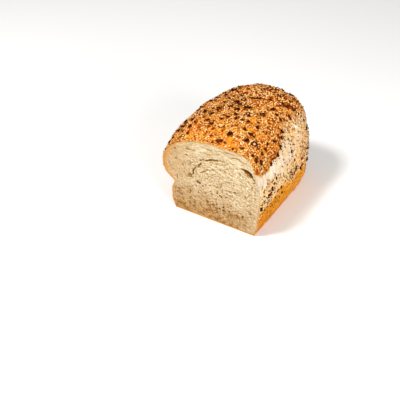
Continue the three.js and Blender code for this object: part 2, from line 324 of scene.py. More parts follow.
def roll_point(deg, y):
    deg = np.asarray(deg, float)
    t = np.maximum(0, (deg - 20) / (ROLL_TO - 20))
    f = 1 - 0.53 * t ** 1.8
    th = np.radians(deg)
    pw = lambda v: np.sign(v) * np.abs(v) ** (2 / ROLL_N)
    k = 1 - 0.3 * np.clip(np.asarray(y, float) / ROLL_DEEP, 0, 1) ** 1.6
    u, v = ROLL_A * f * pw(np.cos(th)) * k, ROLL_B * f * pw(np.sin(th)) * k
    return (ROLL_X * k + u * math.cos(TILT) - v * math.sin(TILT),
            ROLL_Z + u * math.sin(TILT) + v * math.cos(TILT))


# ------------------------------------------------------------------ relief of the crumb on the cut
STEP = 0.25
X0, X1, Z0, Z1 = -84.0, 76.0, -4.0, 118.0
nx, nz = int((X1 - X0) / STEP) + 1, int((Z1 - Z0) / STEP) + 1
gx, gz = np.meshgrid(X0 + STEP * np.arange(nx), Z0 + STEP * np.arange(nz), indexing="ij")
G = np.stack([gx, 0 * gx, gz], -1)
ring0 = Q[0]
outline = ring0[:, [0, 2]]
rim = kdtree.KDTree(len(outline) * 2)
mid = (outline + np.roll(outline, -1, 0)) / 2
for i, p in enumerate(np.concatenate([outline, mid])):
    rim.insert((p[0], 0, p[1]), i)
rim.balance()


def rim_distance(pts):
    """Distance to the cut's outline: straight to its sides, for an array of (x, z)."""
    a, b = outline, np.roll(outline, -1, 0)
    ab = b - a
    ll = (ab ** 2).sum(1) + 1e-12
    out = np.empty(len(pts))
    for s in range(0, len(pts), 4000):
        q = pts[s:s + 4000, None, :]
        t = np.clip(((q - a) * ab).sum(-1) / ll, 0, 1)
        out[s:s + 4000] = np.sqrt((((q - a - t[..., None] * ab) ** 2).sum(-1)).min(1))
    return out


def swirl_measure(x, z):
    """How far out a place on the cut is, in turns of the roll's shape, and its angle."""
    dx, dz = x - ROLL_X, z - ROLL_Z
    u = dx * math.cos(TILT) + dz * math.sin(TILT)
    v = -dx * math.sin(TILT) + dz * math.cos(TILT)
    rho = ((np.abs(u) / ROLL_A) ** ROLL_N + (np.abs(v) / ROLL_B) ** ROLL_N) ** (1 / ROLL_N)
    return rho, u, v


def flow_angle(x, z):
    e = 0.5
    r1 = swirl_measure(x + e, z)[0] - swirl_measure(x - e, z)[0]
    r2 = swirl_measure(x, z + e)[0] - swirl_measure(x, z - e)[0]
    return np.arctan2(r1, -r2)


# coarse distance to the rim on the raster, for how the pores change towards the crust
cx, cz = gx[::8, ::8], gz[::8, ::8]
coarse = rim_distance(np.stack([cx.ravel(), cz.ravel()], -1)).reshape(cx.shape)


def rim_at(x, z):
    fx = np.clip((x - X0) / (STEP * 8), 0, cx.shape[0] - 1.001)
    fz = np.clip((z - Z0) / (STEP * 8), 0, cx.shape[1] - 1.001)
    i, k = fx.astype(int), fz.astype(int)
    a, b = fx - i, fz - k
    return (coarse[i, k] * (1 - a) * (1 - b) + coarse[i + 1, k] * a * (1 - b)
            + coarse[i, k + 1] * (1 - a) * b + coarse[i + 1, k + 1] * a * b)


rim_r = rim_at(gx, gz)
rho_r = swirl_measure(gx, gz)[0]


def unit_gradient(a):
    a1, a2 = np.gradient(a)
    n_ = np.hypot(a1, a2) + 1e-9
    return a1 / n_, a2 / n_


r1, r2 = unit_gradient(rho_r)
e1, e2 = unit_gradient(-rim_r)
wv = step(0.9, 1.45, rho_r)
o1, o2 = r1 * (1 - wv) + e1 * wv, r2 * (1 - wv) + e2 * wv
tilt_n = (0.45 + 1.3 * (1 - step(0.25, 0.75, rho_r))) * vnoise(G, 6.0, 57)
o1, o2 = o1 * np.cos(tilt_n) - o2 * np.sin(tilt_n), o1 * np.sin(tilt_n) + o2 * np.cos(tilt_n)
on = np.hypot(o1, o2) + 1e-9
flow_x, flow_z = -o2 / on, o1 / on


def look(a, fi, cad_):
    fi = np.clip(fi, 0, nx - 1.001)
    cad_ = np.clip(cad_, 0, nz - 1.001)
    i, k = fi.astype(np.int32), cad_.astype(np.int32)
    u, v = fi - i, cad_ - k
    return a[i, k] * (1 - u) * (1 - v) + a[i + 1, k] * u * (1 - v) + a[i, k + 1] * (1 - u) * v + a[i + 1, k + 1] * u * v


def drawn_out(src, reach, n=9):
    """Noise drawn out along the flow of the dough."""
    gi, gk = np.meshgrid(np.arange(nx, dtype=float), np.arange(nz, dtype=float), indexing="ij")
    acc, tot = src.copy(), 1.0
    h_ = reach / n / STEP
    for sgn in (1, -1):
        pi_, pk_ = gi.copy(), gk.copy()
        for m in range(n):
            a_, b_ = look(flow_x, pi_, pk_), look(flow_z, pi_, pk_)
            pi_ += sgn * h_ * a_
            pk_ += sgn * h_ * b_
            w_ = 0.5 + 0.5 * math.cos(math.pi * (m + 1) / (n + 1))
            acc = acc + w_ * look(src, pi_, pk_)
            tot += w_
    acc = acc / tot
    return acc / acc.std()


fibre = 0.85 * drawn_out(vnoise(G, 1.25, 54), 2.6) + 0.45 * drawn_out(vnoise(G, 2.2, 55), 4.0)
fibre /= fibre.std()
layer_r = step(0.93, 1.12, rho_r) * step(44.0, 58.0, gz) * (0.25 + 0.75 * step(-48.0, -24.0, gx))
fibre = fibre * (1 - 0.35 * (1 - step(-52.0, -34.0, gx)))
layers = drawn_out(vnoise(G, 1.5, 60), 9.0, 12) + 0.7 * drawn_out(vnoise(G, 3.2, 62), 12.0, 12)
fibre = fibre * (1 - 0.3 * layer_r) + layer_r * 0.55 * layers
low_r = 1 - step(28.0, 48.0, gz)
curl = vnoise(G, 1.7, 58) + 0.7 * vnoise(G, 1.0, 59)
grain = fibre * (1 - 0.55 * low_r) + 1.2 * curl * low_r

rng = np.random.default_rng(11)
dense = 0.35 + 0.65 * step(2.0, 11.0, rim_r)
height = -0.15 * np.clip(grain, -2.2, 2.2) * dense + (0.10 * fbm(G, 1.1, 41, 2) + 0.20 * fbm(G, 3.2, 42, 2) + 0.35 * fbm(G, 22.0, 43, 2))
warp_x = 0.35 * vnoise(G, 1.3, 44) + 0.5 * vnoise(G, 4.0, 45)
warp_z = 0.35 * vnoise(G, 1.3, 46) + 0.5 * vnoise(G, 4.0, 47)
hollow = 0.9 * np.clip(-grain - 1.15, 0, 1.4) * dense
# stain round the bits the cut went through, and painted shade in the holes and the crescent
stain_and_hole_shade = np.zeros(gx.shape)   # how deep the colour is in and round the holes that stand out


def pore(x, z, r, aspect, angle, depth, power=0.5, tinge=0.0):
    """One hole in the crumb: an uneven ellipse with a rounded floor."""
    reach = r * aspect * 1.25 + 1.0
    i0, i1 = max(0, int((x - reach - X0) / STEP)), min(nx, int((x + reach - X0) / STEP) + 2)
    k0, k1 = max(0, int((z - reach - Z0) / STEP)), min(nz, int((z + reach - Z0) / STEP) + 2)
    if i1 <= i0 or k1 <= k0:
        return
    ww = min(1.0, r * 0.8)
    ax = gx[i0:i1, k0:k1] - x + warp_x[i0:i1, k0:k1] * ww
    az = gz[i0:i1, k0:k1] - z + warp_z[i0:i1, k0:k1] * ww
    u = (ax * math.cos(angle) + az * math.sin(angle)) / (r * aspect)
    v = (-ax * math.sin(angle) + az * math.cos(angle)) / r
    d = depth * np.clip(1 - u * u - v * v, 0, 1) ** power
    if tinge:
        stain_and_hole_shade[i0:i1, k0:k1] = np.maximum(stain_and_hole_shade[i0:i1, k0:k1], tinge * np.clip((1.5 - u * u - v * v) / 0.5, 0, 1))
    hollow[i0:i1, k0:k1] = np.maximum(hollow[i0:i1, k0:k1], d)


def scatter_pores(n, r_lo, r_hi, asp_lo, asp_hi, deep, keep_in, low_wins=0.0):
    x = rng.uniform(-80, 68, n * 3)
    z = rng.uniform(0, 113, n * 3)
    d = rim_at(x, z)
    inside = bread_field(x, 0 * x, z)[0] < -keep_in
    x, z, d = x[inside][:n], z[inside][:n], d[inside][:n]
    a = flow_angle(x, z)
    layered = step(0.93, 1.12, swirl_measure(x, z)[0]) * step(44.0, 58.0, z)
    for i in range(len(x)):
        if rng.random() < 0.6 * layered[i]:
            continue
        calm = float(np.clip(d[i] / 9.0, 0.25, 1)) * (1 - 0.25 * layered[i])
        r = r_lo + (r_hi - r_lo) * rng.random() ** 2.2
        r *= 0.55 + 0.45 * calm
        asp = asp_lo + (asp_hi - asp_lo) * rng.random() ** 1.6
        if z[i] < 40:
            asp = 1 + (asp - 1) * 0.5
        asp = asp + 1.2 * layered[i]
        pore(x[i], z[i], r, asp, a[i] + rng.normal(0, 0.35 - 0.2 * layered[i]), deep * r * (0.7 + 0.6 * rng.random()) * (1 - 0.35 * layered[i]))


scatter_pores(4500, 0.32, 0.62, 1.0, 2.0, 1.15, 0.8)
scatter_pores(3000, 0.52, 1.2, 1.0, 2.2, 1.2, 1.5)
scatter_pores(260, 0.9, 1.8, 1.0, 2.2, 0.9, 4.0)
# long thin holes that follow the turns of the dough under the dome
for _ in range(46):
    deg = rng.uniform(15, 175)
    k = rng.uniform(0.62, 1.27)
    px, pz = roll_point(deg, 0)
    px, pz = ROLL_X + (px - ROLL_X) * k, ROLL_Z + (pz - ROLL_Z) * k
    if bread_field(np.array(px), np.array(0.0), np.array(pz))[0] > -3.0:
        continue
    pore(px, pz, rng.uniform(0.45, 0.8), rng.uniform(4, 9), float(flow_angle(np.array(px), np.array(pz))),
         rng.uniform(0.6, 1.1))


def on_cut(u, v):
    """Where the line of sight through a place in the picture meets the plane of the cut."""
    d_ = CAM_F + CAM_R * (u - 200) / 900 - CAM_U * (v - 200) / 900
    q_ = CAM_O - d_ * CAM_O[1] / d_[1]
    return float(q_[0]), float(q_[2])


# the holes that stand out on the cut: place, radius, how long, slant, depth
for (u_, v_), r, asp, ang, dep in (
        ((189.8, 175.7), 2.7, 1.15, 0.1, 1.7), ((188.6, 174.6), 1.1, 1.4, 0.4, 2.2), ((175.0, 148.5), 1.5, 1.5, 0.1, 1.6), ((187.5, 149.0), 1.4, 2.2, 0.25, 1.8),
        ((186.0, 154.8), 1.2, 2.0, 0.0, 1.5), ((175.7, 158.5), 1.1, 1.3, 0.2, 1.8), ((182.0, 158.2), 0.8, 1.6, 0.0, 0.9),
        ((168.5, 163.0), 0.7, 1.9, 1.5, 1.2), ((191.5, 163.0), 0.7, 2.4, 0.2, 1.0), ((239.5, 180.5), 2.6, 1.7, 0.25, 0.9),
        ((231.0, 206.5), 1.3, 1.6, 0.6, 1.4), ((220.5, 196.2), 1.3, 1.3, 0.0, 1.2), ((209.5, 186.0), 1.1, 1.5, 0.2, 1.0),
        ((217.5, 186.8), 1.0, 1.2, 0.0, 1.2), ((236.0, 216.0), 1.4, 2.4, -0.5, 1.2), ((252.0, 205.0), 1.2, 2.2, 1.3, 0.8)):
    px, pz = on_cut(u_, v_)
    pore(px, pz, r, asp, ang, dep, 0.5, 0.5 if dep < 0.95 else 0.75 + 0.35 * min(dep, 2.0) + (0.6 if r > 2.65 else 0.0))


def trench(places, half_w, deep, tinge=0.0):
    """A drawn-out hollow along a line of places in the picture."""
    q_ = np.array([on_cut(u_, v_) for u_, v_ in places])
    i0, i1 = int((q_[:, 0].min() - 3 - X0) / STEP), int((q_[:, 0].max() + 3 - X0) / STEP)
    k0, k1 = int((q_[:, 1].min() - 3 - Z0) / STEP), int((q_[:, 1].max() + 3 - Z0) / STEP)
    ax = gx[i0:i1, k0:k1] + 0.4 * warp_x[i0:i1, k0:k1]
    az = gz[i0:i1, k0:k1] + 0.4 * warp_z[i0:i1, k0:k1]
    best, along_ = np.full(ax.shape, 99.0), np.zeros(ax.shape)
    run = np.concatenate([[0], np.cumsum(np.hypot(*np.diff(q_, axis=0).T))])
    for a_, b_, s0 in zip(q_[:-1], q_[1:], run[:-1]):
        d_ = b_ - a_
        l_ = math.hypot(*d_)
        t_ = np.clip(((ax - a_[0]) * d_[0] + (az - a_[1]) * d_[1]) / (l_ * l_), 0, 1)
        m_ = np.hypot(ax - a_[0] - t_ * d_[0], az - a_[1] - t_ * d_[1])
        along_ = np.where(m_ < best, (s0 + t_ * l_) / run[-1], along_)
        best = np.minimum(best, m_)
    w_ = half_w * (0.35 + 0.65 * np.sin(np.pi * np.clip(along_, 0.04, 0.96)) ** 0.6)
    d = deep * np.clip(1 - (best / w_) ** 2, 0, 1) ** 0.6
    stain_and_hole_shade[i0:i1, k0:k1] = np.maximum(stain_and_hole_shade[i0:i1, k0:k1], (tinge or 0.75 + 0.5 * deep) * np.clip((1.35 - best / w_) / 0.4, 0, 1))
    hollow[i0:i1, k0:k1] = np.maximum(hollow[i0:i1, k0:k1], d)


for places, w_, *d_ in (
        (((229, 159.5), (234, 158.8), (238, 159.6), (241.5, 162.3), (246.5, 164.5)), 0.75, 0.9),
        (((200.5, 173), (204, 171.8), (207.5, 170.5)), 0.9, 1.2), (((222, 165), (224.5, 165.4), (227, 165.3)), 0.6, 0.9),
        (((252.3, 178.4), (253.6, 180.6), (255.4, 183.4)), 0.9, 1.5, 2.4), (((253.4, 184.2), (255.4, 183.5)), 0.6, 1.0, 1.8),
        (((176.4, 174), (176.9, 176.5), (177.6, 179.2)), 0.8, 1.3), (((190.5, 151.4), (193, 151.2), (195, 150.9)), 0.5, 0.8),
        (((171.5, 168), (173, 168.6), (175, 169.3)), 0.6, 0.8), (((206, 150), (209.5, 150.6), (212, 151)), 0.65, 1.0),
        (((205.0, 161.2), (208, 160.6), (211, 160.3), (214, 160.5), (217.8, 161.2)), 1.35, 2.0, 2.2),
        (((217.5, 160.8), (221, 161.5), (224, 162.6)), 0.7, 1.0), (((199.8, 161.2), (202, 160.3), (205, 160.7)), 0.5, 0.8),
        (((201.0, 163.2), (199.2, 165.2), (197.4, 167.6)), 1.4, 1.6, 1.7), (((196.0, 166.5), (193.8, 169.0), (193.0, 171.6), (193.2, 174.0)), 0.9, 1.4, 1.9),
        (((199.5, 146.8), (201, 147), (203.5, 147.3)), 0.5, 0.7), (((214, 148), (222, 150), (229, 153.5)), 0.5, 0.6),
        (((222, 152), (230, 154.5), (238, 158)), 0.5, 0.6), (((204, 155), (214, 155.2), (222, 156.5)), 0.5, 0.6),
        (((224, 191), (229, 192.3), (233, 192.5)), 0.7, 0.9), (((216, 184), (220, 184.6), (224, 184.2)), 0.6, 0.8),
        (((183, 186.3), (188, 187), (193, 187)), 0.6, 0.8), (((175.6, 186), (175.2, 190)), 0.9, 0.9),
        (((208, 176.5), (212, 177.6), (216, 177)), 0.5, 0.7), (((226, 173), (230, 175), (232, 178)), 0.5, 0.7)):
    trench(places, w_, *d_)

# larger bits that the cut went through: place, length, width, slant, tone
CUT_BITS = (
    (197.3, 181.8, 2.6, 2.0, -0.4, 0.9), (199.2, 183.3, 2.4, 1.7, -0.5, 1.0), (202.4, 186.2, 3.2, 1.5, -0.5, 0.1),
    (210.5, 191.3, 1.8, 1.3, 0.3, 0.2), (211.4, 194.4, 2.4, 1.6, 0.0, 0.7), (217.0, 193.4, 2.2, 1.3, 0.1, 0.4),
    (219.4, 195.8, 1.8, 1.2, 1.2, 0.5), (221.2, 197.6, 1.8, 1.2, 0.2, 0.5), (225.6, 197.4, 1.8, 1.4, 0.2, 0.6),
    (234.5, 193.2, 2.6, 1.7, 0.2, 0.6), (207.0, 201.4, 4.0, 2.8, -0.5, 0.0), (213.5, 204.8, 3.4, 2.0, -0.8, 0.0),
    (216.6, 204.3, 2.0, 1.4, 0.0, 0.5), (223.5, 207.6, 1.9, 1.5, 0.0, 0.9), (219.6, 208.7, 2.0, 1.5, -0.6, 0.8),
    (223.4, 211.0, 3.6, 1.8, -0.2, 0.3), (229.2, 212.0, 2.6, 1.6, 0.7, 0.1), (242.6, 216.9, 2.6, 2.2, 1.4, 0.6),
    (250.4, 214.6, 2.0, 1.5, 0.6, 0.5), (237.0, 215.6, 3.0, 1.8, -0.4, 0.0), (178.8, 188.3, 2.4, 1.3, 0.0, 0.3),
    (190.2, 191.3, 2.0, 1.8, 0.0, 0.3), (198.2, 192.4, 1.6, 1.3, 0.0, 0.2), (200.4, 160.2, 2.1, 1.3, 0.2, 0.7),
    (193.4, 173.6, 2.6, 1.6, 1.7, 0.8), (192.6, 170.2, 1.7, 1.3, 1.5, 0.6), (199.6, 164.5, 1.8, 1.5, 0.6, 0.3),
    (198.3, 166.0, 2.6, 2.0, 0.8, 0.0), (209.4, 161.1, 1.8, 1.3, 0.0, 0.2), (168.6, 163.0, 1.6, 1.2, 1.5, 0.2),
    (250.9, 176.6, 2.6, 1.4, -0.9, 0.5), (249.3, 172.8, 2.6, 1.0, -0.7, 0.3))
# the crumb is stained round each of them
for u_, v_, ln_, wd_, sl_, tn_ in CUT_BITS:
    px, pz = on_cut(u_, v_)
    pore(px, pz, 0.75 * wd_, ln_ / wd_, sl_, 0.25, 0.5, 0.9 + 0.6 * tn_)

# the groove where the roll comes out, and the crescent hole beside its end
gx_f, gz_f = gx.ravel(), gz.ravel()
degs = np.linspace(ROLL_FROM - 2, ROLL_TO, 700)
rx, rz = roll_point(degs, 0)
tx, tz = np.gradient(rx), np.gradient(rz)
tl = np.hypot(tx, tz)
tx, tz = tx / tl, tz / tl
roll_tree = kdtree.KDTree(len(degs))
for i in range(len(degs)):
    roll_tree.insert((rx[i], 0, rz[i]), i)
roll_tree.balance()


def roll_shown(deg):
    """How plainly the roll shows at the cut, from 0 to 1, along its turns."""
    deg = np.asarray(deg, float)
    s = np.interp(deg, [20, 26, 64, 70, 88, 92, 96, 107, 112, 120, 140, 155, 164, 170, 178, 182, 188, 196, 325],
                  [0.1, 0.1, 0.1, 0.1, 0.10, 0.15, 0.2, 0.2, 0.15, 0.12, 0.25, 0.30, 0.45, 0.6, 0.6, 0.4, 0.15, 0.05, 0.0])
    return s


near = (np.abs(swirl_measure(gx, gz)[0] - 0.75) < 0.5)
idx = np.argwhere(near)
roll_gap = np.full(gx.shape, 9.0)   # distance to the roll's line, outwards positive
roll_deg = np.zeros(gx.shape)
cell = {}
for i, k in idx[(idx[:, 0] % 2 == 0) & (idx[:, 1] % 2 == 0)]:
    _, m, dist = roll_tree.find((gx[i, k], 0, gz[i, k]))
    if dist < 7:
        sgn = (gx[i, k] - rx[m]) * tz[m] - (gz[i, k] - rz[m]) * tx[m]
        for a in (0, 1):
            for b in (0, 1):
                if i + a < nx and k + b < nz:
                    s2 = (gx[i + a, k + b] - rx[m]) * tz[m] - (gz[i + a, k + b] - rz[m]) * tx[m]
                    al = (gx[i + a, k + b] - rx[m]) * tx[m] + (gz[i + a, k + b] - rz[m]) * tz[m]
                    roll_gap[i + a, k + b] = math.copysign(math.hypot(s2, al if m in (0, len(degs) - 1) else 0), s2)
                    roll_deg[i + a, k + b] = degs[m]
shown = roll_shown(roll_deg)
wob = 0.5 + 0.5 * vnoise(G, 3.0, 51)
half = (0.15 + 0.75 * shown) * (0.6 + 0.6 * wob)
groove = np.clip(1.15 - np.abs(roll_gap) / half, 0, 1) ** 0.5 * 1.5 * shown
# the crescent's outline, as places in the picture
lens = np.array([on_cut(u_, v_) for u_, v_ in (
    (240.6, 169.0), (243.3, 169.4), (245.8, 170.2), (248.0, 171.3), (249.8, 172.7), (251.3, 174.6), (252.3, 176.6), (252.6, 178.4),
    (251.0, 178.3), (249.2, 177.3), (247.6, 176.0), (246.0, 174.3), (244.4, 172.4), (242.6, 170.7))])
lens_d = np.full(gx.shape, 9.0)
crossing = np.zeros(gx.shape, bool)
for a_, b_ in zip(lens, np.roll(lens, -1, 0)):
    d_ = b_ - a_
    t_ = np.clip(((gx - a_[0]) * d_[0] + (gz - a_[1]) * d_[1]) / (d_ ** 2).sum(), 0, 1)
    lens_d = np.minimum(lens_d, np.hypot(gx - a_[0] - t_ * d_[0], gz - a_[1] - t_ * d_[1]))
    over = (a_[1] > gz) != (b_[1] > gz)
    crossing ^= over & (gx < d_[0] * (gz - a_[1]) / (d_[1] if abs(d_[1]) > 1e-9 else 1e-9) + a_[0])
lens_in = np.where(crossing, lens_d, 0) + 0.12 * vnoise(G, 1.6, 52) * crossing
# the crescent hole is filled with painted shade
stain_and_hole_shade = np.maximum(stain_and_hole_shade, 2.5 * np.clip((np.where(crossing, lens_d, -lens_d) + 0.65) / 0.3, 0, 1))
# painted shade, darkest under its upper edge and at its right end
lean_ = np.clip(((gx - lens[0, 0]) * 0.9 + (gz - lens[9, 1]) * 1.0) / 18.0, 0, 1)
stain_and_hole_shade = np.maximum(stain_and_hole_shade, (2.4 + 1.7 * lean_ ** 1.5) * np.clip(lens_in / 0.4, 0, 1))
pocket = (3.4 + 0.8 * vnoise(G, 4.0, 53)) * np.clip(lens_in / 0.8, 0, 1) ** 0.6
hollow = np.maximum(hollow, np.maximum(groove, pocket))
calm_rim = step(0.4, 2.2, rim_at(gx, gz))
height = height * (0.2 + 0.8 * calm_rim)


def sample(a, x, z):
    fx = np.clip((x - X0) / STEP, 0, nx - 1.001)
    fz = np.clip((z - Z0) / STEP, 0, nz - 1.001)
    i, k = fx.astype(int), fz.astype(int)
    u, v = fx - i, fz - k
    return a[i, k] * (1 - u) * (1 - v) + a[i + 1, k] * u * (1 - v) + a[i, k + 1] * (1 - u) * v + a[i + 1, k + 1] * u * v


# ------------------------------------------------------------------ mesh of the cut face, joined to the crust's first ring
HEX = 0.43
rows = []
for r, zz in enumerate(np.arange(0.4, 116, HEX * 0.866)):
    xx = np.arange(-83, 71, HEX) + (HEX / 2 if r % 2 else 0)
    rows.append(np.stack([xx, np.full_like(xx, zz)], -1))
pts = np.concatenate(rows)
pts += rng.uniform(-0.07, 0.07, pts.shape)


def inside_poly(p, poly):
    x, y = p[:, 0], p[:, 1]
    inside = np.zeros(len(p), bool)
    a, b = poly, np.roll(poly, -1, 0)
    for i in range(len(poly)):
        cond = (a[i, 1] > y) != (b[i, 1] > y)
        if not cond.any():
            continue
        xi = (b[i, 0] - a[i, 0]) * (y - a[i, 1]) / (b[i, 1] - a[i, 1] + 1e-12) + a[i, 0]
        inside ^= cond & (x < xi)
    return inside


pts = pts[inside_poly(pts, outline)]
d_pts = rim_distance(pts)
pts, d_pts = pts[d_pts > 0.38], d_pts[d_pts > 0.38]
n_rim = AROUND
loop = [(i, (i + 1) % n_rim) for i in range(n_rim)]
verts2 = [Vector((float(a), float(b))) for a, b in np.concatenate([outline, pts])]
res = delaunay_2d_cdt(verts2, loop, [], 1, 1e-6)
tri2, orig = res[2], res[3]
new_of = np.array([o[0] if o else -1 for o in orig])
assert (new_of >= 0).all(), "the outline crossed itself"
h_in = sample(height, pts[:, 0], pts[:, 1]) * step(0.3, 1.5, d_pts)
hol = sample(hollow, pts[:, 0], pts[:, 1])
# colour in the holes: painted shade by their depth, and stain
hole_shade_and_stain_amount = np.maximum(0.62 * hol, sample(stain_and_hole_shade, pts[:, 0], pts[:, 1]))
fade = step(0.3, 1.2, d_pts)
depth = (h_in + 0.15 + hol * fade)
depth = np.maximum(depth, 0.0)
face_pts = np.stack([pts[:, 0], depth, pts[:, 1]], -1)

# ------------------------------------------------------------------ one closed mesh for the bread
crust_pts = Q.reshape(-1, 3)
pole = np.array([[0.0, LENGTH, FAN_Z]])
pole[0] = cast(np.array([[0.0, turn, FAN_Z]]), np.array([[0.0, 1.0, 0.0]]))[0] + np.array([0, -0.25, 0])
all_pts = np.concatenate([crust_pts, pole, face_pts])
n_crust = len(crust_pts)
faces, mats = [], []
i0 = np.arange(AROUND)
i1 = (i0 + 1) % AROUND
quads = []
for j in range(RINGS - 1):
    a, b = j * AROUND, (j + 1) * AROUND
    quads.append(np.stack([a + i0, b + i0, b + i1, a + i1], -1))
quads = np.concatenate(quads)
a = (RINGS - 1) * AROUND
cap = np.stack([a + i0, np.full(AROUND, n_crust), a + i1], -1)
mp = np.concatenate([np.arange(n_rim), n_crust + 1 + np.arange(len(pts))])
tri = mp[new_of[np.array(tri2)]]
# the face looks towards -y
v0, v1, v2 = all_pts[tri[:, 0]], all_pts[tri[:, 1]], all_pts[tri[:, 2]]
ny = np.cross(v1 - v0, v2 - v0)[:, 1]
if np.median(ny) > 0:
    tri = tri[:, ::-1]
w0, w1, w2 = all_pts[quads[:, 0]], all_pts[quads[:, 1]], all_pts[quads[:, 2]]
nq = np.cross(w1 - w0, w2 - w0)
out = ((w0 - np.array([0, 80.0, 60.0])) * nq).sum(1)
if np.median(out) < 0:
    quads = quads[:, ::-1]
    cap = cap[:, ::-1]


def to_row(p):
    return (np.asarray(p, float) + np.array([SHIFT_X, SHIFT_Y, 0.0])) / 1000.0


def make_mesh(name, pts_mm, polys, attrs=None, mat=(), mat_index=None, smooth=True):
    """polys is a list of integer arrays, each of faces with the same number of corners."""
    me = bpy.data.meshes.new(name)
    co = to_row(pts_mm).astype(np.float32)
    me.vertices.add(len(co))
    me.vertices.foreach_set("co", co.ravel())
    sizes = np.concatenate([np.full(len(p), p.shape[1], np.int32) for p in polys])
    idx = np.concatenate([p.ravel() for p in polys]).astype(np.int32)
    me.loops.add(len(idx))
    me.loops.foreach_set("vertex_index", idx)
    me.polygons.add(len(sizes))
    me.polygons.foreach_set("loop_start", np.concatenate([[0], np.cumsum(sizes)[:-1]]).astype(np.int32))
    if mat_index is not None:
        me.polygons.foreach_set("material_index", mat_index.astype(np.int32))
    me.polygons.foreach_set("use_smooth", np.full(len(sizes), smooth))
    me.update(calc_edges=True)
    for k, v in (attrs or {}).items():
        at = me.attributes.new(k, "FLOAT", "POINT")
        at.data.foreach_set("value", np.asarray(v, np.float32))
    for m in mat:
        me.materials.append(m)
    me.validate()
    ob = bpy.data.objects.new(name, me)
    bpy.context.scene.collection.objects.link(ob)
    return ob


# ------------------------------------------------------------------ materials


def srgb(r, g, b):
    f = lambda c: (c / 255 / 12.92) if c / 255 <= 0.04045 else ((c / 255 + 0.055) / 1.055) ** 2.4
    return (f(r), f(g), f(b), 1.0)


class Mat:
    """A small helper that wires procedural nodes."""

    def __init__(self, name, rough=0.7):
        self.m = bpy.data.materials.new(name)
        self.m.use_nodes = True
        self.t = self.m.node_tree
        self.b = self.t.nodes["Principled BSDF"]
        self.b.inputs["Roughness"].default_value = rough
        self.geo = self.t.nodes.new("ShaderNodeTexCoord")
        self.vec = self.geo.outputs["Object"]

    def link(self, a, b):
        self.t.links.new(a, b)

    def attr(self, name):
        n = self.t.nodes.new("ShaderNodeAttribute")
        n.attribute_name = name
        return n.outputs["Fac"]

    def noise(self, scale, detail=3.0, rough=0.55, stretch=None, distortion=0.0):
        n = self.t.nodes.new("ShaderNodeTexNoise")
        n.inputs["Scale"].default_value = scale
        n.inputs["Detail"].default_value = detail
        n.inputs["Roughness"].default_value = rough
        n.inputs["Distortion"].default_value = distortion
        if stretch:
            mp_ = self.t.nodes.new("ShaderNodeMapping")
            mp_.inputs["Scale"].default_value = stretch
            self.link(self.vec, mp_.inputs["Vector"])
            self.link(mp_.outputs["Vector"], n.inputs["Vector"])
        else:
            self.link(self.vec, n.inputs["Vector"])
        return n.outputs["Fac"]

    def ramp(self, fac, lo, hi, a=0.0, b=1.0):
        n = self.t.nodes.new("ShaderNodeMapRange")
        n.interpolation_type = "SMOOTHSTEP"
        n.inputs["From Min"].default_value = lo
        n.inputs["From Max"].default_value = hi
        n.inputs["To Min"].default_value = a
        n.inputs["To Max"].default_value = b
        self.link(fac, n.inputs["Value"])
        return n.outputs["Result"]

    def cells(self, scale, smooth=0.35):
        n = self.t.nodes.new("ShaderNodeTexVoronoi")
        n.feature = "SMOOTH_F1"
        n.inputs["Scale"].default_value = scale
        n.inputs["Smoothness"].default_value = smooth
        self.link(self.vec, n.inputs["Vector"])
        return n.outputs["Distance"]

    def math(self, op, a, b):
        n = self.t.nodes.new("ShaderNodeMath")
        n.operation = op
        for i, v in enumerate((a, b)):
            if isinstance(v, (int, float)):
                n.inputs[i].default_value = v
            else:
                self.link(v, n.inputs[i])
        return n.outputs[0]

    def mix(self, fac, a, b):
        n = self.t.nodes.new("ShaderNodeMix")
        n.data_type = "RGBA"
        n.clamp_factor = True
        if isinstance(fac, (int, float)):
            n.inputs["Factor"].default_value = fac
        else:
            self.link(fac, n.inputs["Factor"])
        for key, v in (("A", a), ("B", b)):
            sock = [s for s in n.inputs if s.name == key and s.type == "RGBA"][0]
            if isinstance(v, tuple):
                sock.default_value = v
            else:
                self.link(v, sock)
        return [s for s in n.outputs if s.type == "RGBA"][0]

    def bump(self, height, dist, strength=1.0):
        n = self.t.nodes.new("ShaderNodeBump")
        n.inputs["Distance"].default_value = dist
        n.inputs["Strength"].default_value = strength
        self.link(height, n.inputs["Height"])
        self.link(n.outputs["Normal"], self.b.inputs["Normal"])


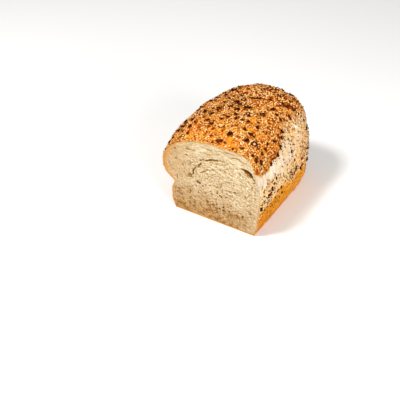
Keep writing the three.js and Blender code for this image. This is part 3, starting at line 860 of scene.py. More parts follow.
def crust_material():
    m = Mat("baked_crust", 0.6)
    dome, torn, foot_a = m.attr("dome"), m.attr("tear"), m.attr("foot")
    toast_and_shade, relief, behind_a, base = m.attr("toast_and_shade"), m.attr("relief"), m.attr("behind"), m.attr("base")
    # the dome: gold to deep orange, redder where it baked hardest
    gold = m.mix(m.ramp(m.noise(170, 4), 0.36, 0.64), srgb(255, 175, 58), srgb(243, 138, 28))
    gold = m.mix(m.ramp(m.noise(48, 5, 0.62), 0.40, 0.68), gold, srgb(255, 193, 88))
    gold = m.mix(m.math("MULTIPLY", m.ramp(m.noise(33, 5, 0.66), 0.46, 0.68), 0.6), gold, srgb(220, 98, 16))
    # lighter gold on the bare patches, partly painted light on the dome's lower right
    gold = m.mix(m.math("MULTIPLY", m.attr("bare_gold_and_painted_light"), 0.35), gold, srgb(255, 170, 58))
    gold = m.mix(m.math("MULTIPLY", m.attr("rust"), m.ramp(m.noise(300, 3), 0.3, 0.6, 0.4, 0.9)), gold, srgb(236, 98, 10))
    gold = m.mix(m.math("MULTIPLY", behind_a, 0.25), gold, srgb(212, 108, 34))
    # the side that baked against the pan: paler, between the seeds
    side = m.mix(m.ramp(m.noise(120, 4), 0.35, 0.65), srgb(252, 218, 160), srgb(254, 236, 198))
    side = m.mix(m.math("MULTIPLY", m.ramp(m.noise(40, 3), 0.5, 0.72), 0.5), side, srgb(230, 156, 72))
    side = m.mix(m.math("MULTIPLY", m.attr("warm"), m.ramp(m.noise(160, 4), 0.3, 0.65, 0.35, 0.95)), side, srgb(234, 158, 76))
    side = m.mix(m.math("MULTIPLY", m.attr("by_cut"), m.ramp(m.noise(200, 3), 0.3, 0.6, 0.3, 0.75)), side, srgb(248, 190, 116))
    low = m.mix(m.ramp(m.noise(90, 3, stretch=(1, 1, 2.2)), 0.35, 0.68), srgb(230, 153, 32), srgb(208, 126, 10))
    low = m.mix(m.math("MULTIPLY", m.ramp(m.noise(55, 4, 0.6), 0.50, 0.66), 0.6), low, srgb(246, 184, 84))
    low = m.mix(m.math("MULTIPLY", m.ramp(m.noise(34, 3, 0.6), 0.50, 0.64), 0.45), low, srgb(190, 102, 4))
    low = m.mix(m.math("MULTIPLY", m.ramp(m.noise(300, 5, 0.7), 0.52, 0.66), 0.75), low, srgb(140, 60, 2))
    low = m.mix(m.math("MULTIPLY", behind_a, 0.25), low, srgb(250, 180, 66))
    low = m.mix(m.math("MULTIPLY", m.attr("bottom"), m.ramp(m.noise(70, 4, 0.6), 0.34, 0.62, 0.25, 0.75)), low, srgb(204, 116, 20))
    # the torn band: pale, in drawn-out strands, more golden towards the back
    pale = m.mix(m.ramp(m.noise(210, 4, stretch=(1, 1, 0.35)), 0.36, 0.66), srgb(240, 230, 210), srgb(220, 198, 162))
    tan = m.mix(m.ramp(m.noise(230, 4, stretch=(1, 1, 0.4)), 0.40, 0.62), srgb(246, 224, 184), srgb(208, 162, 100))
    tan = m.mix(m.math("MULTIPLY", m.ramp(m.noise(52, 4, 0.6), 0.46, 0.64), 0.60), tan, srgb(222, 162, 90))
    tan = m.mix(m.math("MULTIPLY", m.ramp(m.noise(420, 3, 0.6, stretch=(1, 1, 0.5)), 0.54, 0.70), 0.35), tan, srgb(186, 124, 66))
    pale = m.mix(behind_a, pale, tan)
    pale = m.mix(m.math("MULTIPLY", m.attr("creamy"), m.ramp(m.noise(300, 3, stretch=(1, 1, 0.4)), 0.3, 0.6, 0.5, 0.95)), pale, srgb(248, 242, 228))
    col = m.mix(dome, side, gold)
    col = m.mix(foot_a, col, low)
    col = m.mix(torn, col, pale)
    # painted shade: the hollows between the seeds are darker
    painted_pit_shade = m.math("MULTIPLY", m.ramp(relief, -0.02, -0.45), m.math("SUBTRACT", 1.0, m.math("MULTIPLY", torn, 0.7)))
    painted_pit_shade = m.math("MULTIPLY", painted_pit_shade, m.math("SUBTRACT", 0.85, m.math("MULTIPLY", foot_a, 0.6)))
    painted_pit_shade = m.math("MULTIPLY", painted_pit_shade, m.math("ADD", 0.45, m.math("MULTIPLY", dome, 0.5)))
    col = m.mix(painted_pit_shade, col, srgb(136, 46, 3))
    # dark grit specks on the dome: partly toasted bits, partly painted shade between the seeds
    grit_and_seed_shade = m.math("MULTIPLY", m.ramp(m.noise(520, 3, 0.6), 0.51, 0.64), m.math("MULTIPLY", dome, 0.8))
    col = m.mix(grit_and_seed_shade, col, srgb(146, 50, 4))
    # toasting, with painted shade on the dome's left flank and upper left edge
    col = m.mix(m.math("MULTIPLY", toast_and_shade, m.ramp(m.noise(240, 4, 0.6), 0.34, 0.62, 0.22, 0.66)), col, srgb(136, 46, 5))
    col = m.mix(m.math("MULTIPLY", m.attr("halo"), m.ramp(m.noise(380, 3), 0.3, 0.62, 0.35, 0.95)), col, srgb(150, 56, 5))
    # painted shade in the narrow places round the seeds
    col = m.mix(m.math("MULTIPLY", m.attr("seed_contact_shade"), m.ramp(m.noise(700, 3), 0.3, 0.6, 0.45, 1.0)), col, srgb(118, 40, 3))
    # a stain round each dark speck outside the dome
    col = m.mix(m.math("MULTIPLY", m.attr("speck"), 0.5), col, srgb(160, 98, 34))
    # the underside is a plain deeper brown
    under = m.mix(m.ramp(m.noise(60, 4), 0.4, 0.6), srgb(196, 118, 44), srgb(168, 90, 28))
    col = m.mix(m.math("MULTIPLY", base, 0.85), col, under)
    m.link(col, m.b.inputs["Base Color"])
    m.link(m.ramp(m.noise(140, 3), 0.3, 0.7, 0.44, 0.7), m.b.inputs["Roughness"])
    h = m.math("ADD", m.noise(900, 4, 0.6), m.math("MULTIPLY", m.noise(260, 3, 0.6), 1.2))
    m.bump(h, 0.00035, 0.7)
    m.b.inputs["Specular IOR Level"].default_value = 0.08
    m.b.inputs["Specular Tint"].default_value = (1.0, 0.74, 0.46, 1.0)
    return m.m


def crumb_material():
    m = Mat("crumb", 0.85)
    hole_shade_and_stain, rimd, low_tone_and_shadow, grain_light_and_shade, edge_a = m.attr("hole_shade_and_stain"), m.attr("rim"), m.attr("crumb_low_tone_and_shadow"), m.attr("grain"), m.attr("golden_edge")
    cream = m.mix(m.ramp(m.noise(150, 4), 0.36, 0.66), srgb(240, 222, 190), srgb(232, 211, 174))
    cream = m.mix(m.ramp(m.noise(620, 3, 0.6), 0.46, 0.72), cream, srgb(218, 190, 138))
    # painted highlight on the raised grain and painted shade in its grooves
    cream = m.mix(m.ramp(grain_light_and_shade, 0.35, 1.9, 0.0, 0.55), cream, srgb(254, 246, 222))
    cream = m.mix(m.ramp(grain_light_and_shade, -0.45, -1.8, 0.0, 0.60), cream, srgb(194, 158, 100))
    # small cells between the larger holes, with painted shade inside
    cell = m.cells(760)
    cream = m.mix(m.ramp(cell, 0.26, 0.10, 0.0, 0.45), cream, srgb(198, 162, 102))
    # browner, darker lower part of the cut: partly its own colour, partly painted shadow
    cream = m.mix(m.math("MULTIPLY", low_tone_and_shadow, 0.85), cream, srgb(194, 146, 80))
    mottle = m.math("MULTIPLY", m.ramp(m.noise(210, 4, 0.62), 0.47, 0.62), m.ramp(low_tone_and_shadow, 0.2, 0.8, 0.0, 0.85))
    cream = m.mix(mottle, cream, srgb(150, 92, 36))
    fair = m.math("MULTIPLY", m.ramp(m.noise(130, 4, 0.6), 0.52, 0.66), m.ramp(low_tone_and_shadow, 0.3, 0.8, 0.0, 0.6))
    cream = m.mix(fair, cream, srgb(240, 206, 150))
    cream = m.mix(m.math("MULTIPLY", m.attr("bulge"), 0.42), cream, srgb(204, 154, 86))
    cream = m.mix(m.math("MULTIPLY", edge_a, 0.9), cream, srgb(226, 162, 84))
    # painted shade in the holes and the crescent, darkest where deepest, and the stain round the bits
    cream = m.mix(m.ramp(hole_shade_and_stain, 0.40, 1.30, 0.0, 0.84), cream, srgb(170, 127, 36))
    cream = m.mix(m.ramp(hole_shade_and_stain, 1.40, 3.4, 0.0, 0.92), cream, srgb(108, 52, 0))
    # thin baked line round the edge, uneven in depth
    wob_ = m.math("MULTIPLY", m.noise(120, 3), 1.4)
    line = m.ramp(m.math("ADD", rimd, m.math("MULTIPLY", wob_, -1.0)), 0.0, 1.4, 1.0, 0.0)
    col = m.mix(m.math("MULTIPLY", line, 0.75), cream, srgb(222, 158, 78))
    m.link(col, m.b.inputs["Base Color"])
    fine = m.math("ADD", m.math("MULTIPLY", m.noise(1500, 3, 0.6), 0.5), m.math("MULTIPLY", m.noise(620, 3, 0.6), 0.6))
    h = m.math("ADD", fine, m.math("ADD", m.math("MULTIPLY", cell, 1.6), m.cells(1500)))
    m.bump(h, 0.00045, 0.75)
    m.b.inputs["Specular IOR Level"].default_value = 0.12
    m.b.inputs["Subsurface Weight"].default_value = 0.06
    m.b.inputs["Subsurface Radius"].default_value = (0.003, 0.0022, 0.0012)
    m.b.inputs["Subsurface Scale"].default_value = 0.4
    return m.m


def seed_material(name, colours, rough, noise_scale, spec=0.35, patch=None, rise=0.00015):
    """colours runs from the palest to the most toasted, chosen by each seed's own tone."""
    m = Mat(name, rough)
    tone = m.attr("tone")
    col = colours[0]
    n = len(colours) - 1
    for i in range(n):
        col = m.mix(m.ramp(tone, i / n, (i + 1) / n), col, colours[i + 1])
    spot = m.ramp(m.noise(noise_scale, 3, 0.6), 0.42, 0.70)
    col = m.mix(m.math("MULTIPLY", spot, 0.35), col, colours[-1])
    if patch:
        col = m.mix(m.math("MULTIPLY", m.ramp(m.noise(noise_scale * 0.8, 4, 0.65, distortion=0.6), 0.52, 0.68), 0.7), col, patch)
    m.link(col, m.b.inputs["Base Color"])
    m.link(m.ramp(m.noise(noise_scale * 0.6, 2), 0.3, 0.7, rough - 0.12, rough + 0.12), m.b.inputs["Roughness"])
    m.bump(m.noise(noise_scale * 1.6, 3, 0.6), rise, 0.6)
    m.b.inputs["Specular IOR Level"].default_value = spec
    m.b.inputs["Specular Tint"].default_value = (1.0, 0.70, 0.42, 1.0)
    return m.m


MAT_CRUST, MAT_CRUMB = crust_material(), crumb_material()
MAT_SESAME = seed_material("sesame", [srgb(255, 226, 168), srgb(250, 186, 102), srgb(214, 124, 38)], 0.5, 900, 0.18)
MAT_POPPY = seed_material("poppy", [srgb(104, 38, 2), srgb(58, 17, 0), srgb(32, 8, 0)], 0.7, 1500, 0.03)
# the onion's palest colour is the painted highlight in the middle of the flakes
MAT_ONION = seed_material("toasted_onion", [srgb(244, 218, 180), srgb(136, 72, 28), srgb(60, 19, 4), srgb(36, 8, 0)], 0.5, 650, 0.05, srgb(124, 68, 34), 0.0006)
MAT_BROWN = seed_material("browned_onion", [srgb(204, 118, 50), srgb(144, 58, 12), srgb(80, 24, 3)], 0.55, 600, 0.06, srgb(156, 74, 22), 0.0005)
MAT_PALE = seed_material("garlic_bits", [srgb(252, 236, 204), srgb(240, 210, 156), srgb(222, 170, 100)], 0.6, 700)
MAT_SWIRL = seed_material("rolled_filling", [srgb(204, 168, 100), srgb(146, 100, 38), srgb(88, 50, 16)], 0.8, 500, 0.1)

# ------------------------------------------------------------------ the bread
grid = lambda a: a.reshape(-1)
n_face = len(face_pts)
zero_face = np.zeros(n_face)
clump_p = np.clip(step(-0.25, 0.45, vnoise(P, 13.0, 92)) * (1 - 0.6 * patch_gold_and_light) + 0.5 * patch_dark, 0, 1)
toast_and_shade = np.clip(0.9 * step(0.30, 0.62, fbm(P, 16.0, 61, 3)) * domeness, 0, 1)
# darker towards the back and left of the dome: more toasted at the back and in dark clumps, with painted shade on the
# left flank and along the upper left edge
toast_and_shade = np.clip(toast_and_shade * 0.50 + (0.14 + 0.36 * clump_p) * step(45, 120, Y) * domeness + 0.26 * clump_p * domeness
                + 0.35 * wL * domeness * step(30, 90, Y) + (0.45 * patch_dark - 0.35 * patch_gold_and_light) * domeness, 0, 1)
base_a = (Q[..., 2] < 0.05).astype(float)
pad = lambda a: np.concatenate([grid(a), [float(a[-1].mean())], zero_face])
# browner and darker towards the bottom of the cut: partly the lower crumb's own colour, partly painted shadow
low_face_tone_and_shadow = 0.95 * (1 - step(0.0, 52.0, pts[:, 1] + 0.14 * np.clip(pts[:, 0] + 20, -40, 0) + 5.0 * vnoise(face_pts, 11.0, 72)))
low_face_tone_and_shadow = low_face_tone_and_shadow * (1 - 0.55 * step(25.0, 62.0, pts[:, 0]))
low_face_tone_and_shadow = np.clip(low_face_tone_and_shadow + 0.22 * fbm(face_pts, 18.0, 71, 2), 0, 1)
# the bulge on the left baked golden some way in
golden = (1 - step(0.5, 11.0, d_pts)) * (1 - step(-72.0, -42.0, pts[:, 0])) * step(30.0, 48.0, pts[:, 1]) * (1 - step(82.0, 100.0, pts[:, 1]))
# the right edge and the bottom show a little more of the crust's colour
golden = np.maximum(golden, (0.8 - 0.45 * step(40, 55, pts[:, 0])) * (1 - step(0.4, 3.0, d_pts)) * (1 - step(50.0, 64.0, pts[:, 1])))
bulge = (1 - step(-62.0, -16.0, pts[:, 0])) * step(38.0, 56.0, pts[:, 1])
rim_shown = d_pts + 0.8 * step(40, 55, pts[:, 0]) * step(20, 34, pts[:, 1]) + 2.4 * (pts[:, 0] > 20) * step(60.0, 66.0, pts[:, 1]) * (1 - step(84.0, 90.0, pts[:, 1]))
attrs = {
    "dome": pad(domeness), "tear": pad(tear), "foot": pad(foot), "toast_and_shade": pad(toast_and_shade), "base": pad(base_a),
    "hole_shade_and_stain": np.concatenate([np.zeros(n_crust + 1), hole_shade_and_stain_amount]),
    "rim": np.concatenate([np.zeros(n_crust + 1), rim_shown]),
    "grain": np.concatenate([np.zeros(n_crust + 1), sample(grain, pts[:, 0], pts[:, 1])]),
    "golden_edge": np.concatenate([np.zeros(n_crust + 1), golden]),
    "relief": pad(pits), "behind": pad(behind), "bare_gold_and_painted_light": pad(patch_gold_and_light * domeness), "creamy": pad(patch_cream * tear),
    "crumb_low_tone_and_shadow": np.concatenate([np.zeros(n_crust + 1), low_face_tone_and_shadow]), "bulge": np.concatenate([np.zeros(n_crust + 1), bulge]),
    "rust": pad(patch_rust * domeness), "warm": pad(patch_warm * (1 - domeness)), "bottom": pad(1 - step(1.0, 24.0, Z + 4.0 * vnoise(P, 16.0, 96))),
    "by_cut": pad((1 - step(3.0, 13.0, Y + 2.5 * vnoise(P, 7.0, 95))) * step(20.0, 40.0, X) * (1 - step(48.0, 60.0, Z))),
}
mat_index = np.concatenate([np.zeros(len(quads)), np.zeros(len(cap)), np.ones(len(tri))])
bread = make_mesh("loaf_bread", all_pts, [quads, cap, tri], attrs, (MAT_CRUST, MAT_CRUMB), mat_index)
# the cut's edge is crisp
ev = np.empty(len(bread.data.edges) * 2, np.int32)
bread.data.edges.foreach_get("vertices", ev)
ev = ev.reshape(-1, 2)
sharp = (ev < n_rim).all(1) & ((np.abs(ev[:, 0] - ev[:, 1]) == 1) | (np.abs(ev[:, 0] - ev[:, 1]) == n_rim - 1))
se = bread.data.attributes.get("sharp_edge") or bread.data.attributes.new("sharp_edge", "BOOLEAN", "EDGE")
se.data.foreach_set("value", sharp)
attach(bread, "root")
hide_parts("loaf")

# ------------------------------------------------------------------ the rolled sheet of seeds
n_deg, n_y = 260, 14
dd = np.linspace(ROLL_FROM, ROLL_TO, n_deg)
yy = np.concatenate([[0.0, 0.8, 2.0, 4.0], np.linspace(8.0, ROLL_DEEP, n_y - 4)])
sheet_v, sheet_tone = [], []
for jj, yv in enumerate(yy):
    x_, z_ = roll_point(dd, yv)
    xa, za = roll_point(dd + 0.4, yv)
    tx_, tz_ = xa - x_, za - z_
    l_ = np.hypot(tx_, tz_)
    nx_, nz_ = tz_ / l_, -tx_ / l_
    cen = np.stack([x_, np.full_like(x_, yv), z_], -1)
    hv = (0.18 + 0.60 * roll_shown(dd)) * (0.75 + 0.45 * vnoise(cen, 2.4, 81))
    if jj == 0:
        hv = hv * 0.7
    wobble = 0.12 * vnoise(cen, 3.1, 82)
    front = 0.62 + 2.2 * (1 - roll_shown(dd)) + 0.25 * vnoise(cen, 1.8, 83)
    inward = -1.9 * np.sin(np.pi * np.clip((dd - 20) / 50, 0, 1)) * (1 - step(4.0, 20.0, np.full_like(dd, yv)))
    for s_ in (1, -1):
        off_ = hv * s_ + wobble + inward
        sheet_v.append(np.stack([x_ + nx_ * off_, yv * (1 - front / ROLL_DEEP) + front, z_ + nz_ * off_], -1))
        sheet_tone.append(np.clip(1.05 * roll_shown(dd) + 0.35 * vnoise(cen, 2.2, 84) - 0.05, 0, 1))
sv = np.concatenate(sheet_v)
st = np.concatenate(sheet_tone)
qs = []
k_ = np.arange(n_deg - 1)
for jj in range(n_y - 1):
    a0, b0 = (2 * jj) * n_deg, (2 * jj + 1) * n_deg
    a1, b1 = (2 * jj + 2) * n_deg, (2 * jj + 3) * n_deg
    qs.append(np.stack([a0 + k_, a1 + k_, a1 + k_ + 1, a0 + k_ + 1], -1))
    qs.append(np.stack([b0 + k_, b0 + k_ + 1, b1 + k_ + 1, b1 + k_], -1))
    qs.append(np.array([[a0, b0, b1, a1]]))
    e = n_deg - 1
    qs.append(np.array([[a0 + e, a1 + e, b1 + e, b0 + e]]))
e0, e1 = 2 * (n_y - 1) * n_deg, (2 * (n_y - 1) + 1) * n_deg
qs.append(np.stack([k_, k_ + 1, n_deg + k_ + 1, n_deg + k_], -1))
qs.append(np.stack([e0 + k_, e1 + k_, e1 + k_ + 1, e0 + k_ + 1], -1))
swirl = make_mesh("rolled_filling", sv, [np.concatenate(qs)], {"tone": st}, (MAT_SWIRL,))
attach(swirl, "root")
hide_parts("seed_swirl")

# ------------------------------------------------------------------ toppings


def unit_seed(rings, around, width, thick, tip, bend=0.0):
    """A teardrop one unit long, lying along x, as points and triangles."""
    v = [(-0.5, 0.0, 0.0)]
    for r in range(1, rings + 1):
        t_ = r / (rings + 1)
        prof = math.sin(math.pi * t_ ** tip)
        for a_ in range(around):
            w_ = 2 * math.pi * (a_ + 0.5 * (r % 2)) / around
            v.append((t_ - 0.5, 0.5 * width * prof * math.cos(w_), 0.5 * thick * prof * math.sin(w_) + bend * (t_ - 0.5) ** 2))
    v.append((0.5, 0.0, 0.0))
    f = []
    last = len(v) - 1
    for a_ in range(around):
        b_ = (a_ + 1) % around
        f.append((0, 1 + b_, 1 + a_))
        o_ = 1 + (rings - 1) * around
        f.append((last, o_ + a_, o_ + b_))
        for r in range(rings - 1):
            p_, q_ = 1 + r * around, 1 + (r + 1) * around
            f.append((p_ + a_, p_ + b_, q_ + b_))
            f.append((p_ + a_, q_ + b_, q_ + a_))
    return np.array(v), np.array(f)


def surface_samples(n, density, seed):
    """Places on the crust: position, normal and grid cell, chosen by area times density."""
    r_ = np.random.default_rng(seed)
    A, B, C, D = Q[:-1], Q[1:], np.roll(Q, -1, 1)[1:], np.roll(Q, -1, 1)[:-1]
    area = np.linalg.norm(np.cross(C - A, D - B), axis=-1) / 2
    w_ = area * density[:-1]
    w_[:, :] = np.where(Q[:-1, :, 2] < 0.05, 0, w_)
    p_ = w_.ravel() / w_.sum()
    pick = r_.choice(p_.size, n, p=p_)
    j_, i_ = np.unravel_index(pick, w_.shape)
    u_, v_ = r_.random(n)[:, None], r_.random(n)[:, None]
    pos = (A[j_, i_] * (1 - u_) + B[j_, i_] * u_) * (1 - v_) + (D[j_, i_] * (1 - u_) + C[j_, i_] * u_) * v_
    nor = NQ[j_, i_]
    return pos, nor, j_, i_, r_


# normals of the finished crust
du_ = np.roll(Q, -1, 1) - np.roll(Q, 1, 1)
dv_ = np.gradient(Q, axis=0)
NQ = np.cross(dv_, du_)
NQ /= np.linalg.norm(NQ, axis=-1, keepdims=True) + 1e-12
NQ *= np.sign((NQ * N).sum(-1, keepdims=True) + 1e-9)


def thin_out(pos, gap, limit, taken=None):
    """Keeps places that are at least gap apart (gap may be one number each)."""
    gap = np.broadcast_to(np.asarray(gap, float), (len(pos),))
    cell_ = 3.0
    table = {}
    if taken is not None:
        for p_, g_ in taken:
            table.setdefault(tuple((p_ // cell_).astype(int)), []).append((p_, g_))
    keep = []
    for n_ in range(len(pos)):
        p_ = pos[n_]
        c_ = (p_ // cell_).astype(int)
        ok = True
        rad = 1 if gap[n_] < 3 else 2
        for a_ in range(-rad, rad + 1):
            for b_ in range(-rad, rad + 1):
                for e_ in range(-rad, rad + 1):
                    for q_, g_ in table.get((c_[0] + a_, c_[1] + b_, c_[2] + e_), ()):
                        if ((p_ - q_) ** 2).sum() < ((gap[n_] + g_) / 2) ** 2:
                            ok = False
                            break
                    if not ok:
                        break
                if not ok:
                    break
            if not ok:
                break
        if ok:
            table.setdefault(tuple(c_), []).append((p_, gap[n_]))
            keep.append(n_)
            if len(keep) >= limit:
                break
    return np.array(keep, int)


def frames_on(nor, angle, tilt, r_):
    """Axes for pieces that lie on the crust at the given angles, tilted a little."""
    ref = np.where(np.abs(nor[:, 1:2]) < 0.9, np.array([[0.0, 1.0, 0.0]]), np.array([[1.0, 0.0, 0.0]]))
    t1 = np.cross(ref, nor)
    t1 /= np.linalg.norm(t1, axis=1, keepdims=True)
    t2 = np.cross(nor, t1)
    ca, sa = np.cos(angle)[:, None], np.sin(angle)[:, None]
    ex = t1 * ca + t2 * sa
    ez = nor + ex * np.tan(r_.normal(0, tilt, len(nor)))[:, None] + np.cross(nor, ex) * np.tan(r_.normal(0, tilt, len(nor)))[:, None]
    ez /= np.linalg.norm(ez, axis=1, keepdims=True)
    ey = np.cross(ez, ex)
    ey /= np.linalg.norm(ey, axis=1, keepdims=True)
    ex = np.cross(ey, ez)
    return ex, ey, ez


def scatter_mesh(name, shapes, pos, axes, size, tone, mat, highlight_paint=None, which=None):
    """Joins many small pieces into one mesh. shapes is a list of (points, triangles), used in turn."""
    vv, ff, tt = [], [], []
    off = 0
    ex, ey, ez = axes
    for n_ in range(len(pos)):
        shape_ = shapes[n_ % len(shapes) if which is None else which[n_]]
        v_, f_ = shape_[:2]
        s_ = size[n_]
        w_ = pos[n_] + (v_[:, 0:1] * s_[0]) * ex[n_] + (v_[:, 1:2] * s_[1]) * ey[n_] + (v_[:, 2:3] * s_[2]) * ez[n_]
        vv.append(w_)
        ff.append(f_ + off)
        t_ = np.full(len(v_), tone[n_])
        if highlight_paint is not None and len(shape_) > 2:
            t_ = np.clip(t_ - highlight_paint[n_] * shape_[2], 0, 1)
        tt.append(t_)
        off += len(v_)
    ob = make_mesh(name, np.concatenate(vv), [np.concatenate(ff)], {"tone": np.concatenate(tt)}, (mat,))
    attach(ob, "root")
    return ob


def flake_shape(seed, n=12, curl=0.25, thick=0.16, crinkle=0.07):
    """A torn, curled, crinkled flake: an uneven outline, two skins and a rim; one unit long."""
    r_ = np.random.default_rng(seed)
    ang = np.linspace(0, 2 * np.pi, n, endpoint=False) + r_.uniform(-0.16, 0.16, n)
    lobes = r_.uniform(0, 6.28, 3)
    rad = 0.5 * (0.76 + 0.13 * np.sin(2 * ang + lobes[0]) + 0.12 * np.sin(3 * ang + lobes[1]) + 0.05 * np.sin(5 * ang + lobes[2])
                 + 0.06 * r_.uniform(-1, 1, n))
    ring = np.stack([rad * np.cos(ang), rad * np.sin(ang)], -1)
    ph = r_.uniform(0, 6.28, 4)

    def level(q_, up):
        x_, y_ = q_[:, 0], q_[:, 1]
        z_ = curl * 1.6 * x_ ** 2 - curl * 0.7 * y_ ** 2
        z_ = z_ + crinkle * np.sin(9 * x_ + 4 * y_ + ph[0]) * np.cos(8 * y_ + ph[1]) + 0.5 * crinkle * np.sin(17 * x_ + ph[2])
        z_ = z_ + 1.1 * crinkle * np.hypot(x_, y_) * np.sin(4 * np.arctan2(y_, x_) + ph[3])
        return np.concatenate([q_, (z_ + up)[:, None]], 1)

    c_ = np.zeros((1, 2))
    v = np.concatenate([level(c_, thick * 0.5), level(ring * 0.42, thick * 0.5), level(ring * 0.74, thick * 0.45),
                        level(ring * 0.95, thick * 0.25), level(ring, -thick * 0.1), level(ring * 0.80, -thick * 0.5),
                        level(c_, -thick * 0.6)])
    f = []
    L_ = 1 + 5 * n
    for i_ in range(n):
        k2 = (i_ + 1) % n
        f.append((0, 1 + i_, 1 + k2))
        for g_ in range(4):
            lo_, hi_ = 1 + g_ * n, 1 + (g_ + 1) * n
            f.append((lo_ + i_, hi_ + i_, hi_ + k2))
            f.append((lo_ + i_, hi_ + k2, lo_ + k2))
        f.append((L_, 1 + 4 * n + k2, 1 + 4 * n + i_))
    # weights for the painted highlight in the flake's middle
    highlight_weight = np.concatenate([[1.0], np.full(n, 0.78), np.full(n, 0.10), np.full(3 * n, 0.0), [0.0]])
    return v, np.array(f), highlight_weight


def ribbon_shape(seed, sweep=250, width=0.30, thick=0.07):
    """A curled strip of onion, bent into an open ring; about one unit across."""
    r_ = np.random.default_rng(seed)
    k_ = 9
    v, f = [], []
    for i_ in range(k_):
        t_ = i_ / (k_ - 1)
        a_ = math.radians(sweep) * (t_ - 0.5)
        rad = 0.40 * (1 + 0.16 * r_.uniform(-1, 1))
        c_ = np.array([rad * math.cos(a_), 0.8 * rad * math.sin(a_), 0.05 * r_.uniform(-1, 1)])
        o_ = np.array([math.cos(a_), math.sin(a_), 0.0])
        lean = 0.7 + 0.35 * r_.uniform(-1, 1)
        w_ = width * (0.55 + 0.45 * math.sin(math.pi * (0.12 + 0.76 * t_)))
        along_ = o_ * math.cos(lean) + np.array([0, 0, math.sin(lean)])
        across_ = -o_ * math.sin(lean) + np.array([0, 0, math.cos(lean)])
        for p_, q_ in ((-0.5, -0.5), (0.5, -0.5), (0.5, 0.5), (-0.5, 0.5)):
            v.append(c_ + along_ * w_ * p_ + across_ * thick * q_)
    for i_ in range(k_ - 1):
        a0, b0 = 4 * i_, 4 * i_ + 4
        for c_ in range(4):
            d_ = (c_ + 1) % 4
            f += [(a0 + c_, a0 + d_, b0 + d_), (a0 + c_, b0 + d_, b0 + c_)]
    e_ = 4 * (k_ - 1)
    f += [(0, 2, 1), (0, 3, 2), (e_, e_ + 1, e_ + 2), (e_, e_ + 2, e_ + 3)]
    v = np.array(v)
    v, f = v, np.array(f)
    # faces look outwards
    if (np.cross(v[f[:, 1]] - v[f[:, 0]], v[f[:, 2]] - v[f[:, 0]]) * (v[f[:, 0]])).sum() < 0:
        f = f[:, ::-1]
    return v, f


# --- dark toasted onion, first where the largest flakes lie on the dome, then at random
crust_tree = kdtree.KDTree(N_UP * RINGS)
up_pts = Q[:, :N_UP]
flat_pts = up_pts.reshape(-1, 3)
flat_nor = NQ[:, :N_UP].reshape(-1, 3)
for i, p in enumerate(flat_pts):
    crust_tree.insert(p, i)
crust_tree.balance()

